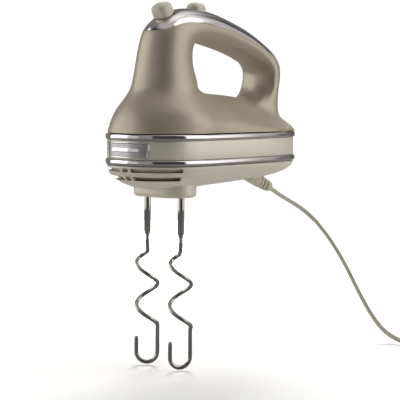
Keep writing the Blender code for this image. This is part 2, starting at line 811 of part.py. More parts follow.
def build_worm(axis):
    """The worm: a sleeve with one right-hand thread, between the two wheels."""
    sleeve_r, tip_r, half = 3.9, WORM_PITCH_R + 1.4, 9.0
    bm = bmesh.new()
    ring(bm, sleeve_r, 2.5, -half - 1.5, half + 1.5, 20, axis="Y")
    item = add_object("worm", bm, steel(), axis)
    turns = 2 * half / WORM_LEAD - 0.6
    steps = round(14 * turns)
    bm = bmesh.new()
    sections = []
    for k in range(steps + 1):
        phi = 2 * math.pi * turns * (k / steps - 0.5)
        y = WORM_LEAD * phi / (2 * math.pi)
        section = []
        for r, dy in ((sleeve_r - 0.6, -0.95), (tip_r, -0.45), (tip_r, 0.45), (sleeve_r - 0.6, 0.95)):
            section.append(bm.verts.new((r * math.sin(phi), y + dy, r * math.cos(phi))))
        sections.append(section)
    for a, b in zip(sections, sections[1:]):
        for i in range(4):
            j = (i + 1) % 4
            bm.faces.new((a[i], a[j], b[j], b[i]))
    bm.faces.new(sections[0])
    bm.faces.new(sections[-1])
    bmesh.ops.recalc_face_normals(bm, faces=bm.faces)
    boolean(item, cutter("worm_thread", bm, axis), "UNION")
    return item


def build_armature(axis):
    """Shaft, rotor, commutator and fan, all turning about the drive axis."""
    bm = bmesh.new()
    rod(bm, SHAFT_R, *SHAFT_ENDS, 16, axis="Y")
    add_object("armature_shaft", bm, steel(), axis)
    bore = SHAFT_R + GAP
    bm = bmesh.new()
    turned(bm, [(bore, 44.0), (9.0, 44.0), (11.5, 46.0), (11.5, 49.5), (13.6, 50.0), (13.6, 80.0),
                (11.5, 80.5), (11.5, 84.0), (9.0, 86.0), (bore, 86.0)][::-1], 24, "Y", closed=True)
    add_object("armature_core", bm, copper(), axis)
    commutator_r, commutator_ends = 8.8, (94.5, 107.0)
    bm = bmesh.new()
    ring(bm, commutator_r, bore, *commutator_ends, 24, axis="Y")
    add_object("commutator", bm, copper(), axis)
    build_fan(axis, bore)


def build_fan(axis, bore):
    """Eight straight blades round a hub."""
    blades, hub_r, tip_r, half_blade = 8, 7.0, 19.0, 0.9
    low, high = 27.0, 34.0
    bm = bmesh.new()
    loops = []
    for y in (low, high):
        outer, inner = [], []
        for k in range(blades):
            middle = 2 * math.pi * k / blades
            for r, side in ((hub_r, -1), (tip_r, -1), (tip_r, 1), (hub_r, 1)):
                a = middle + side * half_blade / r
                outer.append(bm.verts.new((r * math.sin(a), y, r * math.cos(a))))
            for share in (-0.1, 0.1):
                a = middle + share
                inner.append(bm.verts.new((bore * math.sin(a), y, bore * math.cos(a))))
        loops.append((outer, inner))
    for outer, inner in loops:
        for k in range(blades):
            o, i = 4 * k, 2 * k
            after_o, after_i = (o + 4) % (4 * blades), (i + 2) % (2 * blades)
            bm.faces.new((outer[o], outer[o + 1], outer[o + 2], outer[o + 3]))
            bm.faces.new((outer[o], outer[o + 3], inner[i + 1], inner[i]))
            bm.faces.new((outer[o + 3], outer[after_o], inner[after_i], inner[i + 1]))
    for which in (0, 1):
        first, second = loops[0][which], loops[1][which]
        n = len(first)
        for i in range(n):
            j = (i + 1) % n
            bm.faces.new((first[i], first[j], second[j], second[i]))
    bmesh.ops.recalc_face_normals(bm, faces=bm.faces)
    return add_object("cooling_fan", bm, grey_nylon(), axis)


def build_stator(root):
    """Squared stator core with a round bore."""
    segments, half_side, bore_r, squareness = 32, 23.0, 14.6, 6
    bm = bmesh.new()
    loops = []
    for y in (-1.0, 29.0):
        outer, inner = [], []
        for k in range(segments):
            a = 2 * math.pi * (k + 0.5) / segments
            c, s = math.cos(a), math.sin(a)
            reach = half_side / (abs(c) ** squareness + abs(s) ** squareness) ** (1 / squareness)
            outer.append(bm.verts.new((reach * c, y, DRIVE_Z + reach * s)))
            inner.append(bm.verts.new((bore_r * c, y, DRIVE_Z + bore_r * s)))
        loops.append((outer, inner))
    for outer, inner in loops:
        for i in range(segments):
            j = (i + 1) % segments
            bm.faces.new((outer[i], outer[j], inner[j], inner[i]))
    for which in (0, 1):
        for i in range(segments):
            j = (i + 1) % segments
            bm.faces.new((loops[0][which][i], loops[0][which][j],
                          loops[1][which][j], loops[1][which][i]))
    bmesh.ops.recalc_face_normals(bm, faces=bm.faces)
    add_object("motor_stator", bm, steel(), root)


def build_motor(root):
    """Windings, bearings and the rear bracket, all fixed round the shaft."""
    at = (0, 0, DRIVE_Z)
    for name, low, high in (("field_winding_front", -8.5, -1.3), ("field_winding_rear", 29.3, 36.5)):
        bm = bmesh.new()
        turned(bm, [(15.0, low + 1), (16.0, low), (20.0, low), (21.5, low + 2), (21.5, high),
                    (15.0, high)], 24, "Y", at, closed=True)
        add_object(name, bm, copper(), root)
    for name, low, high, outer_r in (("front_bearing", -76.0, -71.6, 5.0),
                                     ("rear_bearing", 62.0, 68.0, 7.5)):
        bm = bmesh.new()
        ring(bm, outer_r, SHAFT_R + GAP, low, high, 18, "Y", at)
        add_object(name, bm, brass(), root)
    bm = bmesh.new()
    outline = rounded_square(25.0, 13.0, 4.0, 2)
    prism(bm, [(x, 62.3, DRIVE_Z + z) for x, z in outline], (0, 5.0, 0))
    bracket = add_object("rear_motor_bracket", bm, grey_nylon(), root)
    bm = bmesh.new()
    rod(bm, 7.9, 55.0, 75.0, 20, "Y", at)
    boolean(bracket, cutter("rear_bearing_seat", bm, root), "DIFFERENCE")


def build_brushes(root):
    """Two carbon brushes sliding in brass holders beside the commutator."""
    for side, sign in (("left", 1), ("right", -1)):
        bm = bmesh.new()
        low, high = sorted((sign * 9.2, sign * 19.0))
        block(bm, (low, 47.8, DRIVE_Z - 2.5), (high, 52.8, DRIVE_Z + 2.5))
        add_object(f"{side}_carbon_brush", bm, carbon(), root)
        bm = bmesh.new()
        low, high = sorted((sign * 11.0, sign * 24.0))
        block(bm, (low, 46.2, DRIVE_Z - 4.1), (high, 54.4, DRIVE_Z + 4.1))
        holder = add_object(f"{side}_brush_holder", bm, brass(), root)
        bm = bmesh.new()
        block(bm, (low - 5, 47.5, DRIVE_Z - 2.8), (high + 5, 53.1, DRIVE_Z + 2.8))
        boolean(holder, cutter(f"{side}_brush_way", bm, root), "DIFFERENCE")


def build_gearbox(root):
    """Tray, cover and bushes that hold the worm, wheels and spindles."""
    holes = hole_pins([(HOOK_X, HOOK_Y), (-HOOK_X, HOOK_Y)], SPINDLE_R + 0.4, -20.0, 20.0, 20)
    spindle_holes = cutter("gearbox_spindle_holes", holes, root)
    bm = bmesh.new()
    block(bm, (-34.0, -75.0, -11.0), (34.0, -26.5, 10.6))
    frame = add_object("gearbox_frame", bm, grey_nylon(), root)
    bm = bmesh.new()
    block(bm, (-40.0, -72.0, -7.5), (40.0, -29.5, 15.0))
    boolean(frame, cutter("gearbox_space", bm, root), "DIFFERENCE")
    boolean(frame, spindle_holes, "DIFFERENCE")
    bm = bmesh.new()
    rod(bm, 5.3, -80.0, -20.0, 18, "Y", (0, 0, DRIVE_Z))
    boolean(frame, cutter("shaft_holes", bm, root), "DIFFERENCE")
    bm = bmesh.new()
    block(bm, (-34.0, -75.0, 10.9), (34.0, -26.5, 13.0))
    cover = add_object("gearbox_cover", bm, grey_nylon(), root)
    boolean(cover, spindle_holes, "DIFFERENCE")
    for side, sign in (("left", 1), ("right", -1)):
        bm = bmesh.new()
        low, high, bore = BOSS_BOTTOM_Z + 0.1, PLATE_HIGH_Z + 0.4, SPINDLE_R + 0.35
        profile = [(BUSH_R, high), (BUSH_R, low), (bore, low), (bore, high)]
        turned(bm, profile, 24, at=(sign * HOOK_X, HOOK_Y, 0), closed=True)
        add_object(f"{side}_spindle_bush", bm, brass(), root)


# ---------------------------------------------------------------- dough hooks

def hook_wire(final_angle):
    """Centre line of one hook about its own axis: shank, corkscrew, straight leg and upturned end."""
    points = [(0, 0, z) for z in (-44.0, -60.0, -78.0, -86.0)]
    top, turns, per_turn = -91.0, 1.825, 16
    steps = round(turns * per_turn)
    for k in range(1, steps + 1):
        t = turns * k / steps
        a = final_angle - 2 * math.pi * (turns - t)
        r = COIL_R * math.sin(math.pi / 2 * min(1.0, t / 0.33))
        points.append((r * math.cos(a), r * math.sin(a), top - COIL_PITCH * t))
    out = Vector((math.cos(final_angle), math.sin(final_angle)))
    leg = HOOK_LOW_Z + WIRE_R + HOOK_BEND_R
    points.append((*(out * HOOK_BEND_R), (points[-1][2] + leg) / 2 - 1.0))
    for k in range(9):
        a = math.pi * k / 8
        spot = out * (HOOK_BEND_R * math.cos(a))
        points.append((*spot, leg - HOOK_BEND_R * math.sin(a)))
    points.append((*(out * -HOOK_BEND_R), leg + 14.0))
    return points


def build_hook(side, final_angle, axis):
    """One dough hook: bent wire held in a steel sleeve."""
    bm = bmesh.new()
    bore = WIRE_R + GAP
    turned(bm, [(SLEEVE_R - 0.8, SLEEVE_TOP_Z), (SLEEVE_R, SLEEVE_TOP_Z - 1.2),
                (SLEEVE_R, SLEEVE_BOTTOM_Z + 1.0), (SLEEVE_R - 0.6, SLEEVE_BOTTOM_Z),
                (bore, SLEEVE_BOTTOM_Z), (bore, SLEEVE_TOP_Z)], 12, closed=True)
    add_object(f"{side}_hook_sleeve", bm, steel(), axis)
    tube(f"{side}_dough_hook", hook_wire(final_angle), WIRE_R, steel(), axis, resolution=1)


# ---------------------------------------------------------------- controls

def build_eject_button(root):
    """The thick rounded button on the tilted front of the cap, with its push stem."""
    axis = empty("eject_button_axis", BUTTON_AT, root)
    axis.rotation_euler = (BUTTON_TILT, 0, 0)
    bm = button_body(0.0, -4.5, BUTTON_HEIGHT)
    item = add_object("eject_button", bm, cream_plastic(), axis)
    bevel(item, 2.2, 2)
    bm = bmesh.new()
    rod(bm, 3.0, -12.0, -2.0, 10)
    boolean(item, cutter("button_stem", bm, axis), "UNION")
    return item


def build_speed_knob(root):
    """The domed knob that slides along the top of the handle."""
    axis = empty("speed_knob_axis", KNOB_AT, root)
    half_x, half_y, height = 7.4, 8.6, 6.9
    crown_r = 19.0
    section = []
    for k in range(7):
        x = -half_x + 2 * half_x * k / 6
        section.append((x, -half_y, 0.6 - crown_r + math.sqrt(crown_r ** 2 - x * x)))
    for k in range(7):
        x = half_x - 2 * half_x * k / 6
        section.append((x * 0.9, -half_y, height - 0.045 * x * x))
    bm = bmesh.new()
    prism(bm, section, (0, 2 * half_y, 0))
    item = add_object("speed_knob", bm, cream_plastic(), axis)
    bevel(item, 2.4, 2, 50)
    bm = bmesh.new()
    block(bm, (-2.4, -2.2, -12.0), (2.4, 2.2, 3.0))
    boolean(item, cutter("knob_stem", bm, axis), "UNION")
    return item


def build_ejector(root):
    """Rod and yoke that push the hooks out, with their guide and return spring."""
    axis = empty("ejector_axis", (0, HOOK_Y, 0), root)
    bm = bmesh.new()
    turned(bm, [(0, 103.0), (5.5, 103.0), (5.5, 100.8), (2.0, 100.8), (2.0, 23.8), (0, 23.8)], 12)
    add_object("ejector_rod", bm, steel(), axis)
    bm = bmesh.new()
    block(bm, (-24.0, -5.0, 20.5), (24.0, 5.0, 23.5))
    yoke = add_object("ejector_yoke", bm, steel(), axis)
    pins = hole_pins([(HOOK_X, 0), (-HOOK_X, 0)], 1.5, -11.0, 22.0, 10)
    boolean(yoke, cutter("yoke_pins", pins, axis), "UNION")
    bm = bmesh.new()
    block(bm, (-15.0, HOOK_Y - 13.0, 83.6), (15.0, HOOK_Y + 13.0, 86.0))
    guide = add_object("ejector_guide", bm, grey_nylon(), root)
    way = hole_pins([(0, HOOK_Y)], 2.5, 80.0, 90.0, 12)
    boolean(guide, cutter("guide_way", way, root), "DIFFERENCE")
    turns, per_turn, low, high, coil_r, wire_r = 4, 10, 87.2, 99.8, 3.8, 0.5
    points = []
    for k in range(turns * per_turn + 1):
        a = 2 * math.pi * k / per_turn
        rise = (high - low) * k / (turns * per_turn)
        points.append((coil_r * math.cos(a), HOOK_Y + coil_r * math.sin(a), low + rise))
    tube("eject_spring", points, wire_r, steel(), root, resolution=0)


def build_electrics(root):
    """Speed switch, control board and cord clamp."""
    bm = bmesh.new()
    block(bm, (-8.0, -29.0, 101.2), (8.0, 6.0, 110.6))
    item = add_object("speed_switch", bm, carbon(), root)
    bevel(item, 1.0, 1)
    bm = bmesh.new()
    block(bm, (-9.0, -26.0, 99.4), (9.0, 16.0, 100.8))
    add_object("control_board", bm, board_green(), root)
    bm = bmesh.new()
    block(bm, (-10.0, 53.0, -28.6), (10.0, 61.0, -24.0))
    item = add_object("cord_clamp", bm, grey_nylon(), root)
    bevel(item, 0.8, 1)


# ---------------------------------------------------------------- cord

def build_gland(root):
    """Tapered ribbed strain relief that leaves the underside towards the rear."""
    start, tip = Vector(GLAND_ROOT), Vector(GLAND_TIP)
    length = (tip - start).length
    profile = [(0, -9.0), (5.9, -9.0), (5.9, 7.0), (5.3, 7.4), (5.3, 8.8), (5.6, 9.2), (5.5, 12.8),
               (4.4, 13.2), (4.4, 14.4), (5.2, 14.8), (5.1, 18.4), (4.1, 18.8), (4.1, 20.0),
               (4.9, 20.4), (4.5, length - 0.8), (3.9, length), (0, length)]
    bm = bmesh.new()
    turned(bm, profile, 14)
    turn = (tip - start).normalized().to_track_quat("Z", "Y").to_matrix().to_4x4()
    bmesh.ops.transform(bm, matrix=Matrix.Translation(start) @ turn, verts=bm.verts)
    return add_object("cord_gland", bm, cream_plastic(), root)


def build_cord(root):
    """The hanging run, the put-away coil with its tie and the short tail to the plug."""
    mat = cream_plastic()
    tube("power_cord", smooth_route(CORD_ROUTE, 2.6 * CORD_D), CORD_D / 2, mat, root)
    x, y = RING_CENTRE
    half, edge = RING_WIDE * CORD_D / 2, 1.5
    low, high = FLOOR_Z, FLOOR_Z + RING_HIGH * CORD_D
    inner, outer = RING_R - half, RING_R + half
    bm = bmesh.new()
    turned(bm, [(inner, high - edge), (inner, low + edge), (inner + edge, low), (outer - edge, low),
                (outer, low + edge), (outer, high - edge), (outer - edge, high),
                (inner + edge, high)], 32, at=(x, y, 0), closed=True)
    add_object("cord_coil", bm, mat, root)
    bm = bmesh.new()
    loops = []
    for grow in (0.25, 0.75):
        for across in (-2.5, 2.5):
            loops.append([bm.verts.new((x + a, y + across, z)) for a, z in
                          ((inner - grow, low - grow), (outer + grow, low - grow),
                           (outer + grow, high + grow), (inner - grow, high + grow))])
    for a, b in ((0, 1), (1, 3), (3, 2), (2, 0)):
        for i in range(4):
            j = (i + 1) % 4
            bm.faces.new((loops[a][i], loops[a][j], loops[b][j], loops[b][i]))
    bmesh.ops.recalc_face_normals(bm, faces=bm.faces)
    bmesh.ops.rotate(bm, verts=bm.verts, cent=(x, y, 0),
                     matrix=Matrix.Rotation(math.radians(-150), 3, "Z"))
    add_object("coil_tie", bm, carbon(), root)
    collar_end = PLUG_BACK_Y + PLUG_COLLAR + GAP
    tail = [(PLUG_X, 138.6, FLOOR_Z + 4.2), (PLUG_X, 132.0, FLOOR_Z + 3.2),
            (PLUG_X, 126.5, FLOOR_Z + 4.9), (PLUG_X, collar_end + 4.0, FLOOR_Z + PLUG_HALF[1]),
            (PLUG_X, collar_end, FLOOR_Z + PLUG_HALF[1])]
    tube("cord_tail", smooth_route(tail, 4.0), CORD_D / 2, mat, root)


def build_plug(root):
    """Flat two-pin plug lying on the surface beside the coil."""
    middle = FLOOR_Z + PLUG_HALF[1]
    bm = bmesh.new()
    outline = [(PLUG_X + x, y) for x, y in (
        (-5.5, PLUG_BACK_Y), (5.5, PLUG_BACK_Y), (PLUG_HALF[0], PLUG_BACK_Y - 14.0),
        (PLUG_HALF[0], PLUG_BACK_Y - PLUG_LENGTH), (-PLUG_HALF[0], PLUG_BACK_Y - PLUG_LENGTH),
        (-PLUG_HALF[0], PLUG_BACK_Y - 14.0))]
    prism(bm, [(x, y, FLOOR_Z) for x, y in outline], (0, 0, 2 * PLUG_HALF[1]))
    body = add_object("plug_body", bm, cream_plastic(), root)
    bevel(body, 2.5, 2, 25)
    bm = bmesh.new()
    turned(bm, [(0, PLUG_COLLAR), (3.6, PLUG_COLLAR), (4.6, -6.0), (0, -6.0)], 12, "Y",
           (PLUG_X, PLUG_BACK_Y, middle))
    boolean(body, cutter("plug_collar", bm, root), "UNION")
    face = PLUG_BACK_Y - PLUG_LENGTH
    for side, sign in (("left", 1), ("right", -1)):
        bm = bmesh.new()
        turned(bm, [(0, -GAP), (PIN_R, -GAP), (PIN_R, -PIN_LENGTH + 1), (PIN_R - 0.8, -PIN_LENGTH),
                    (0, -PIN_LENGTH)], 12, "Y",
               (PLUG_X + sign * PIN_SPACING / 2, face, middle))
        add_object(f"plug_pin_{side}", bm, steel(), root)


def main():
    """Build every part under one root empty at the middle of the grip."""
    clear_scene()
    root = empty("mixer", (-GRIP[0], -GRIP[1], -GRIP[2]))
    build_trim_strip("upper_trim_strip", STRIP_CENTRE_Z, root)
    build_trim_strip("lower_trim_strip", -STRIP_CENTRE_Z, root)
    build_middle_band(root)
    build_badge(root)
    build_upper_housing(root)
    build_handle_cap(root)
    build_lower_housing(root)
    build_socket_plate(root)
    build_screws(root)
    drive = empty("drive_axis", (0, HOOK_Y, DRIVE_Z), root)
    build_worm(drive)
    build_armature(drive)
    build_stator(root)
    build_motor(root)
    build_brushes(root)
    build_gearbox(root)
    quarter = 2 * math.pi / WHEEL_TEETH / 4
    for side, sign, phase, turn in (("left", 1, math.pi - 3 * quarter, LEFT_HOOK_TURN),
                                    ("right", -1, quarter, RIGHT_HOOK_TURN)):
        axis = empty(f"{side}_hook_axis", (sign * HOOK_X, HOOK_Y, 0), root)
        build_spindle(side, axis)
        build_worm_wheel(side, phase, axis)
        build_hook(side, turn, axis)
    build_eject_button(root)
    build_speed_knob(root)
    build_ejector(root)
    build_electrics(root)
    build_gland(root)
    build_cord(root)
    build_plug(root)


main()
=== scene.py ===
"""Looks of the hand mixer: fine shells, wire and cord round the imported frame, materials, light, camera.

Shapes are written in millimetres in the mixer's datum frame: origin at the middle of the trim band,
+X to the mixer's left hand side, -Y towards the nose, +Z up.  metres() takes them to the row's frame.
"""
import json
import math

import bmesh
import bpy
import numpy as np
from mathutils import Matrix, Vector


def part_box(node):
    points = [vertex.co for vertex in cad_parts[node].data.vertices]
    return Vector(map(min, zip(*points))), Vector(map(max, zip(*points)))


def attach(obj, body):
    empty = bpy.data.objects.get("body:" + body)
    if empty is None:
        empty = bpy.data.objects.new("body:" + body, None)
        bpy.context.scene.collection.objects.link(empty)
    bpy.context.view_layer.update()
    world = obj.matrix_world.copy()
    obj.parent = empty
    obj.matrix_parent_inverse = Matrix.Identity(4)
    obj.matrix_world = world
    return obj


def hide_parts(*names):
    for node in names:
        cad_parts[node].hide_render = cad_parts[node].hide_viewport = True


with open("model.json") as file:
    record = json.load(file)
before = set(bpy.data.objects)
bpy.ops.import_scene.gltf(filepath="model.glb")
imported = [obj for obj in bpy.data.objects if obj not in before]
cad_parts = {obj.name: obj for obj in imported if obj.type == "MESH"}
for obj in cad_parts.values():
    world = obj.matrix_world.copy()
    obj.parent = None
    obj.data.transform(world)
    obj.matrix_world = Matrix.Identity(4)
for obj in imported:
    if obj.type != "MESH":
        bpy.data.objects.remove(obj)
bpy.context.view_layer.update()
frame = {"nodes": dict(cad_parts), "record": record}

MM = 0.001
GAP = 0.3
ROOT = "mixer_body"

# Trim band outline, as in the CAD
NOSE_Y, WIDEST_Y, TAIL_Y = -104.7, -50.4, 103.6
HALF_WIDTH, NOSE_POWER, TAIL_POWER, TAIL_REACH = 49.1, 2.15, 4.8, 104.9
STRIP_HEIGHT, STRIP_CENTRE_Z, STRIP_PROUD, STRIP_DEPTH = 5, 11.05, 1.3, 3.6
WALL = 2.3

# The datum sits behind the band's flat tail face and at the band's mid height
band_low, band_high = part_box("middle_band")
DATUM = Vector((0, band_high.y - (TAIL_Y - STRIP_PROUD) * MM, (band_low.z + band_high.z) / 2))
FLOOR_Z = (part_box("cord_coil")[0].z - DATUM.z) / MM
HOOK_X, HOOK_Y = 20, -51


def metres(point):
    """A datum-frame point in millimetres as a row-frame point in metres."""
    return DATUM + Vector(point) * MM


# ---- camera

CAMERA_AZIMUTH, CAMERA_ELEVATION, CAMERA_ROLL = 39.84, 4.65, 0.44
CAMERA_DISTANCE = 1.2779
CAMERA_TARGET = (-0.46, -0.3, -49.2)
CAMERA_LENS = 124.47


def linked(name, data):
    """A new object in the scene."""
    item = bpy.data.objects.new(name, data)
    bpy.context.collection.objects.link(item)
    return item


def build_camera():
    """Long lens at the front left of the mixer, a little above the trim band."""
    azimuth, elevation, roll = (math.radians(a) for a in
                                (CAMERA_AZIMUTH, CAMERA_ELEVATION, CAMERA_ROLL))
    back = Vector((math.sin(azimuth) * math.cos(elevation), -math.cos(azimuth) * math.cos(elevation),
                   math.sin(elevation)))
    level = Vector((math.cos(azimuth), math.sin(azimuth), 0))
    upright = back.cross(level)
    right = math.cos(roll) * level + math.sin(roll) * upright
    up = math.cos(roll) * upright - math.sin(roll) * level
    data = bpy.data.cameras.new("camera")
    data.lens = CAMERA_LENS
    data.sensor_width = 36
    data.clip_end = 20
    camera = linked("camera", data)
    pose = Matrix((right, up, back)).transposed().to_4x4()
    pose.translation = metres(CAMERA_TARGET) + back * CAMERA_DISTANCE
    camera.matrix_world = pose
    bpy.context.scene.camera = camera


# ---- materials

class Shader:
    """A Principled material with short calls for adding procedural detail."""

    def __init__(self, name, colour, roughness, metallic=0.0, coat=0.0, coat_roughness=0.1):
        self.mat = bpy.data.materials.new(name)
        self.mat.use_nodes = True
        self.tree = self.mat.node_tree
        self.main = self.tree.nodes["Principled BSDF"]
        self.mat.diffuse_color = (*colour, 1)
        for socket, value in (("Base Color", (*colour, 1)), ("Roughness", roughness),
                              ("Metallic", metallic), ("Coat Weight", coat),
                              ("Coat Roughness", coat_roughness)):
            self.set(socket, value)
        self.colour = colour
        self.place = self.node("ShaderNodeTexCoord").outputs["Object"]

    def set(self, socket, value):
        self.main.inputs[socket].default_value = value

    def node(self, kind, **settings):
        made = self.tree.nodes.new(kind)
        for key, value in settings.items():
            setattr(made, key, value)
        return made

    def join(self, out, into):
        self.tree.links.new(out, into)

    def stretched(self, scale):
        """Object coordinates stretched by an (x, y, z) scale."""
        mapping = self.node("ShaderNodeMapping")
        mapping.inputs["Scale"].default_value = scale
        self.join(self.place, mapping.inputs["Vector"])
        return mapping.outputs["Vector"]

    def noise(self, scale, stretch=(1, 1, 1), detail=3.0):
        """A noise value, its scale in features per metre."""
        made = self.node("ShaderNodeTexNoise")
        made.inputs["Scale"].default_value = scale
        made.inputs["Detail"].default_value = detail
        self.join(self.stretched(stretch), made.inputs["Vector"])
        return made.outputs["Fac"]

    def wave(self, scale, direction, profile="SIN", distortion=0.0):
        """Even lines across a direction, as many per metre as the scale says."""
        made = self.node("ShaderNodeTexWave", bands_direction=direction, wave_profile=profile)
        made.inputs["Scale"].default_value = scale
        made.inputs["Distortion"].default_value = distortion
        self.join(self.place, made.inputs["Vector"])
        return made.outputs["Fac"]

    def span(self, value, low, high):
        """Map the middle of a 0 to 1 value to a range."""
        made = self.node("ShaderNodeMapRange")
        for socket, number in (("From Min", 0.3), ("From Max", 0.7),
                               ("To Min", low), ("To Max", high)):
            made.inputs[socket].default_value = number
        self.join(value, made.inputs["Value"])
        return made.outputs["Result"]

    def tint(self, value, darkest, lightest):
        """Vary the base colour between a darker and a lighter tone by a value."""
        ramp = self.node("ShaderNodeValToRGB")
        low, high = ramp.color_ramp.elements
        low.position, high.position = 0.3, 0.7
        low.color = (*(c * darkest for c in self.colour), 1)
        high.color = (*(min(1, c * lightest) for c in self.colour), 1)
        self.join(value, ramp.inputs["Fac"])
        self.join(ramp.outputs["Color"], self.main.inputs["Base Color"])
        return self

    def grain(self, value, low, high):
        """Vary the roughness by a value."""
        self.join(self.span(value, low, high), self.main.inputs["Roughness"])
        return self

    def bump(self, value, height_mm):
        """Raise the surface by a value, its height in millimetres."""
        made = self.node("ShaderNodeBump")
        made.inputs["Strength"].default_value = 1
        made.inputs["Distance"].default_value = height_mm * MM
        self.join(value, made.inputs["Height"])
        self.join(made.outputs["Normal"], self.main.inputs["Normal"])
        return self


def lacquer():
    """Pearly taupe lacquer: fine flake, faint orange peel and slightly uneven gloss."""
    s = Shader("taupe_lacquer", (0.47, 0.415, 0.325), 0.42, 0.5, 0.12, 0.2)
    s.tint(s.noise(900, detail=2), 0.955, 1.03)
    s.grain(s.noise(22), 0.39, 0.45)
    return s.bump(s.noise(420, detail=1), 0.004).mat


def pearl_plastic():
    """Cream moulding with a soft pearl sheen and a very fine moulded grain."""
    s = Shader("cream_pearl", (0.74, 0.70, 0.595), 0.38, 0.38, 0.15, 0.2)
    s.tint(s.noise(700, detail=2), 0.965, 1.02)
    s.grain(s.noise(30), 0.35, 0.43)
    return s.bump(s.noise(1500, detail=2), 0.006).mat


def soft_plastic():
    """Flexible cream PVC of the lead and its relief: satin, faintly mottled."""
    s = Shader("cream_flex", (0.43, 0.40, 0.32), 0.42)
    s.tint(s.noise(160, detail=4), 0.90, 1.04)
    s.grain(s.noise(90), 0.36, 0.50)
    return s.bump(s.noise(2200), 0.010).mat


def chrome_plate():
    """Bright chrome with faint wipe marks in its gloss."""
    s = Shader("chrome_plate", (0.84, 0.80, 0.80), 0.06, 1)
    s.tint(s.noise(14), 0.97, 1)
    s.grain(s.noise(60, (1, 0.25, 1), detail=5), 0.045, 0.085)
    return s.bump(s.noise(35, detail=1), 0.004).mat


def polished_steel():
    """Polished wire with faint drawing lines along it."""
    s = Shader("polished_steel", (0.60, 0.565, 0.545), 0.08, 1)
    s.tint(s.noise(300, (1, 1, 0.06), detail=4), 0.86, 1.04)
    s.grain(s.noise(240, (1, 1, 0.1)), 0.05, 0.11)
    return s.bump(s.noise(900, (1, 1, 0.04), detail=2), 0.003).mat


def turned_steel(name="turned_steel", colour=(0.50, 0.49, 0.48), direction="Z"):
    """Machined steel with fine tool rings."""
    s = Shader(name, colour, 0.28, 1)
    s.tint(s.noise(120, detail=4), 0.85, 1.03)
    s.grain(s.wave(900, direction, distortion=1), 0.22, 0.36)
    return s.bump(s.wave(700, direction), 0.004).mat


def brushed_silver():
    """Sideways brushed silver of the badge's field."""
    s = Shader("brushed_silver", (0.50, 0.49, 0.50), 0.34, 1)
    s.tint(s.noise(1500, (0.05, 0.05, 1), detail=3), 0.72, 1.05)
    s.grain(s.noise(1200, (0.05, 0.05, 1)), 0.26, 0.44)
    return s.bump(s.noise(2000, (0.04, 0.04, 1)), 0.006).mat


def copper_wire():
    """Varnished copper turns lying side by side."""
    s = Shader("copper_wire", (0.62, 0.27, 0.12), 0.34, 1, 0.5, 0.2)
    s.tint(s.noise(200, detail=4), 0.7, 1.05)
    return s.bump(s.wave(420, "DIAGONAL", distortion=0.6), 0.10).mat


def commutator_bars():
    """Copper with dark gaps between its bars and a brush track."""
    s = Shader("commutator_bars", (0.66, 0.33, 0.18), 0.3, 1)
    s.tint(s.wave(130, "X"), 0.45, 1.05)
    return s.grain(s.noise(300, (1, 0.1, 1)), 0.22, 0.42).mat


def plain_brass():
    """Machined brass with tool rings."""
    s = Shader("machined_brass", (0.68, 0.50, 0.22), 0.26, 1)
    s.tint(s.noise(90, detail=4), 0.82, 1.04)
    return s.grain(s.wave(900, "Z"), 0.2, 0.34).mat


def nylon(name, colour):
    """Moulded nylon, slightly cloudy, with a fine grain."""
    s = Shader(name, colour, 0.5)
    s.tint(s.noise(80, detail=4), 0.86, 1.05)
    s.grain(s.noise(200), 0.42, 0.58)
    return s.bump(s.noise(1400, detail=2), 0.02).mat


def circuit_board():
    """Green lacquer over copper tracks."""
    s = Shader("circuit_board", (0.045, 0.20, 0.085), 0.35, 0, 0.3, 0.2)
    s.tint(s.wave(260, "X", "SAW", 3), 0.55, 1.35)
    return s.bump(s.wave(260, "X", "SAW", 3), 0.03).mat


def black_rubber():
    """Dull black rubber and carbon."""
    s = Shader("black_rubber", (0.022, 0.022, 0.024), 0.6)
    s.tint(s.noise(300, detail=4), 0.6, 1.4)
    return s.bump(s.noise(900), 0.05).mat


def key_plastic():
    """Matt cream moulding of the button and the knob."""
    s = Shader("cream_keys", (0.60, 0.56, 0.475), 0.46, 0.1)
    s.tint(s.noise(500, detail=3), 0.95, 1.03)
    s.grain(s.noise(40), 0.42, 0.50)
    return s.bump(s.noise(1500, detail=2), 0.008).mat


MATERIALS = {
    "taupe_paint": lacquer(), "cream_plastic": pearl_plastic(), "chrome": chrome_plate(),
    "steel": turned_steel(), "copper": copper_wire(), "carbon": black_rubber(),
    "brass": plain_brass(), "grey_nylon": nylon("grey_nylon_fine", (0.20, 0.20, 0.21)),
    "white_nylon": nylon("white_nylon_fine", (0.72, 0.70, 0.64)), "board_green": circuit_board(),
}
WIRE = polished_steel()
FLEX = soft_plastic()
KEYS = key_plastic()


# ---- mesh helpers

def settle(item, body, slot, *nodes):
    """Let a finished piece ride on a body and stand in for CAD nodes, which it hides; the slot is not
    used.
    """
    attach(item, body)
    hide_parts(*nodes)
    return item


def smooth(mesh, sharp):
    """Smooth shading with sharp edges above an angle in degrees."""
    mesh.shade_smooth()
    mesh.set_sharp_from_angle(angle=math.radians(sharp))


def piece(name, bm, body, slot, nodes=(), sharp=35.0, mats=None):
    """A datum-frame bmesh as an object in its slot's material; with a body it is a finished piece."""
    bmesh.ops.scale(bm, verts=bm.verts, vec=(MM, MM, MM))
    bmesh.ops.translate(bm, verts=bm.verts, vec=DATUM)
    mesh = bpy.data.meshes.new(name)
    bm.to_mesh(mesh)
    bm.free()
    for mat in mats or ([MATERIALS[slot]] if slot else []):
        mesh.materials.append(mat)
    item = linked(name, mesh)
    smooth(mesh, sharp)
    return settle(item, body, slot, *nodes) if body else item


def tool(name, bm):
    """A body for a Boolean, removed once the Boolean is applied."""
    return piece(name, bm, None, None)


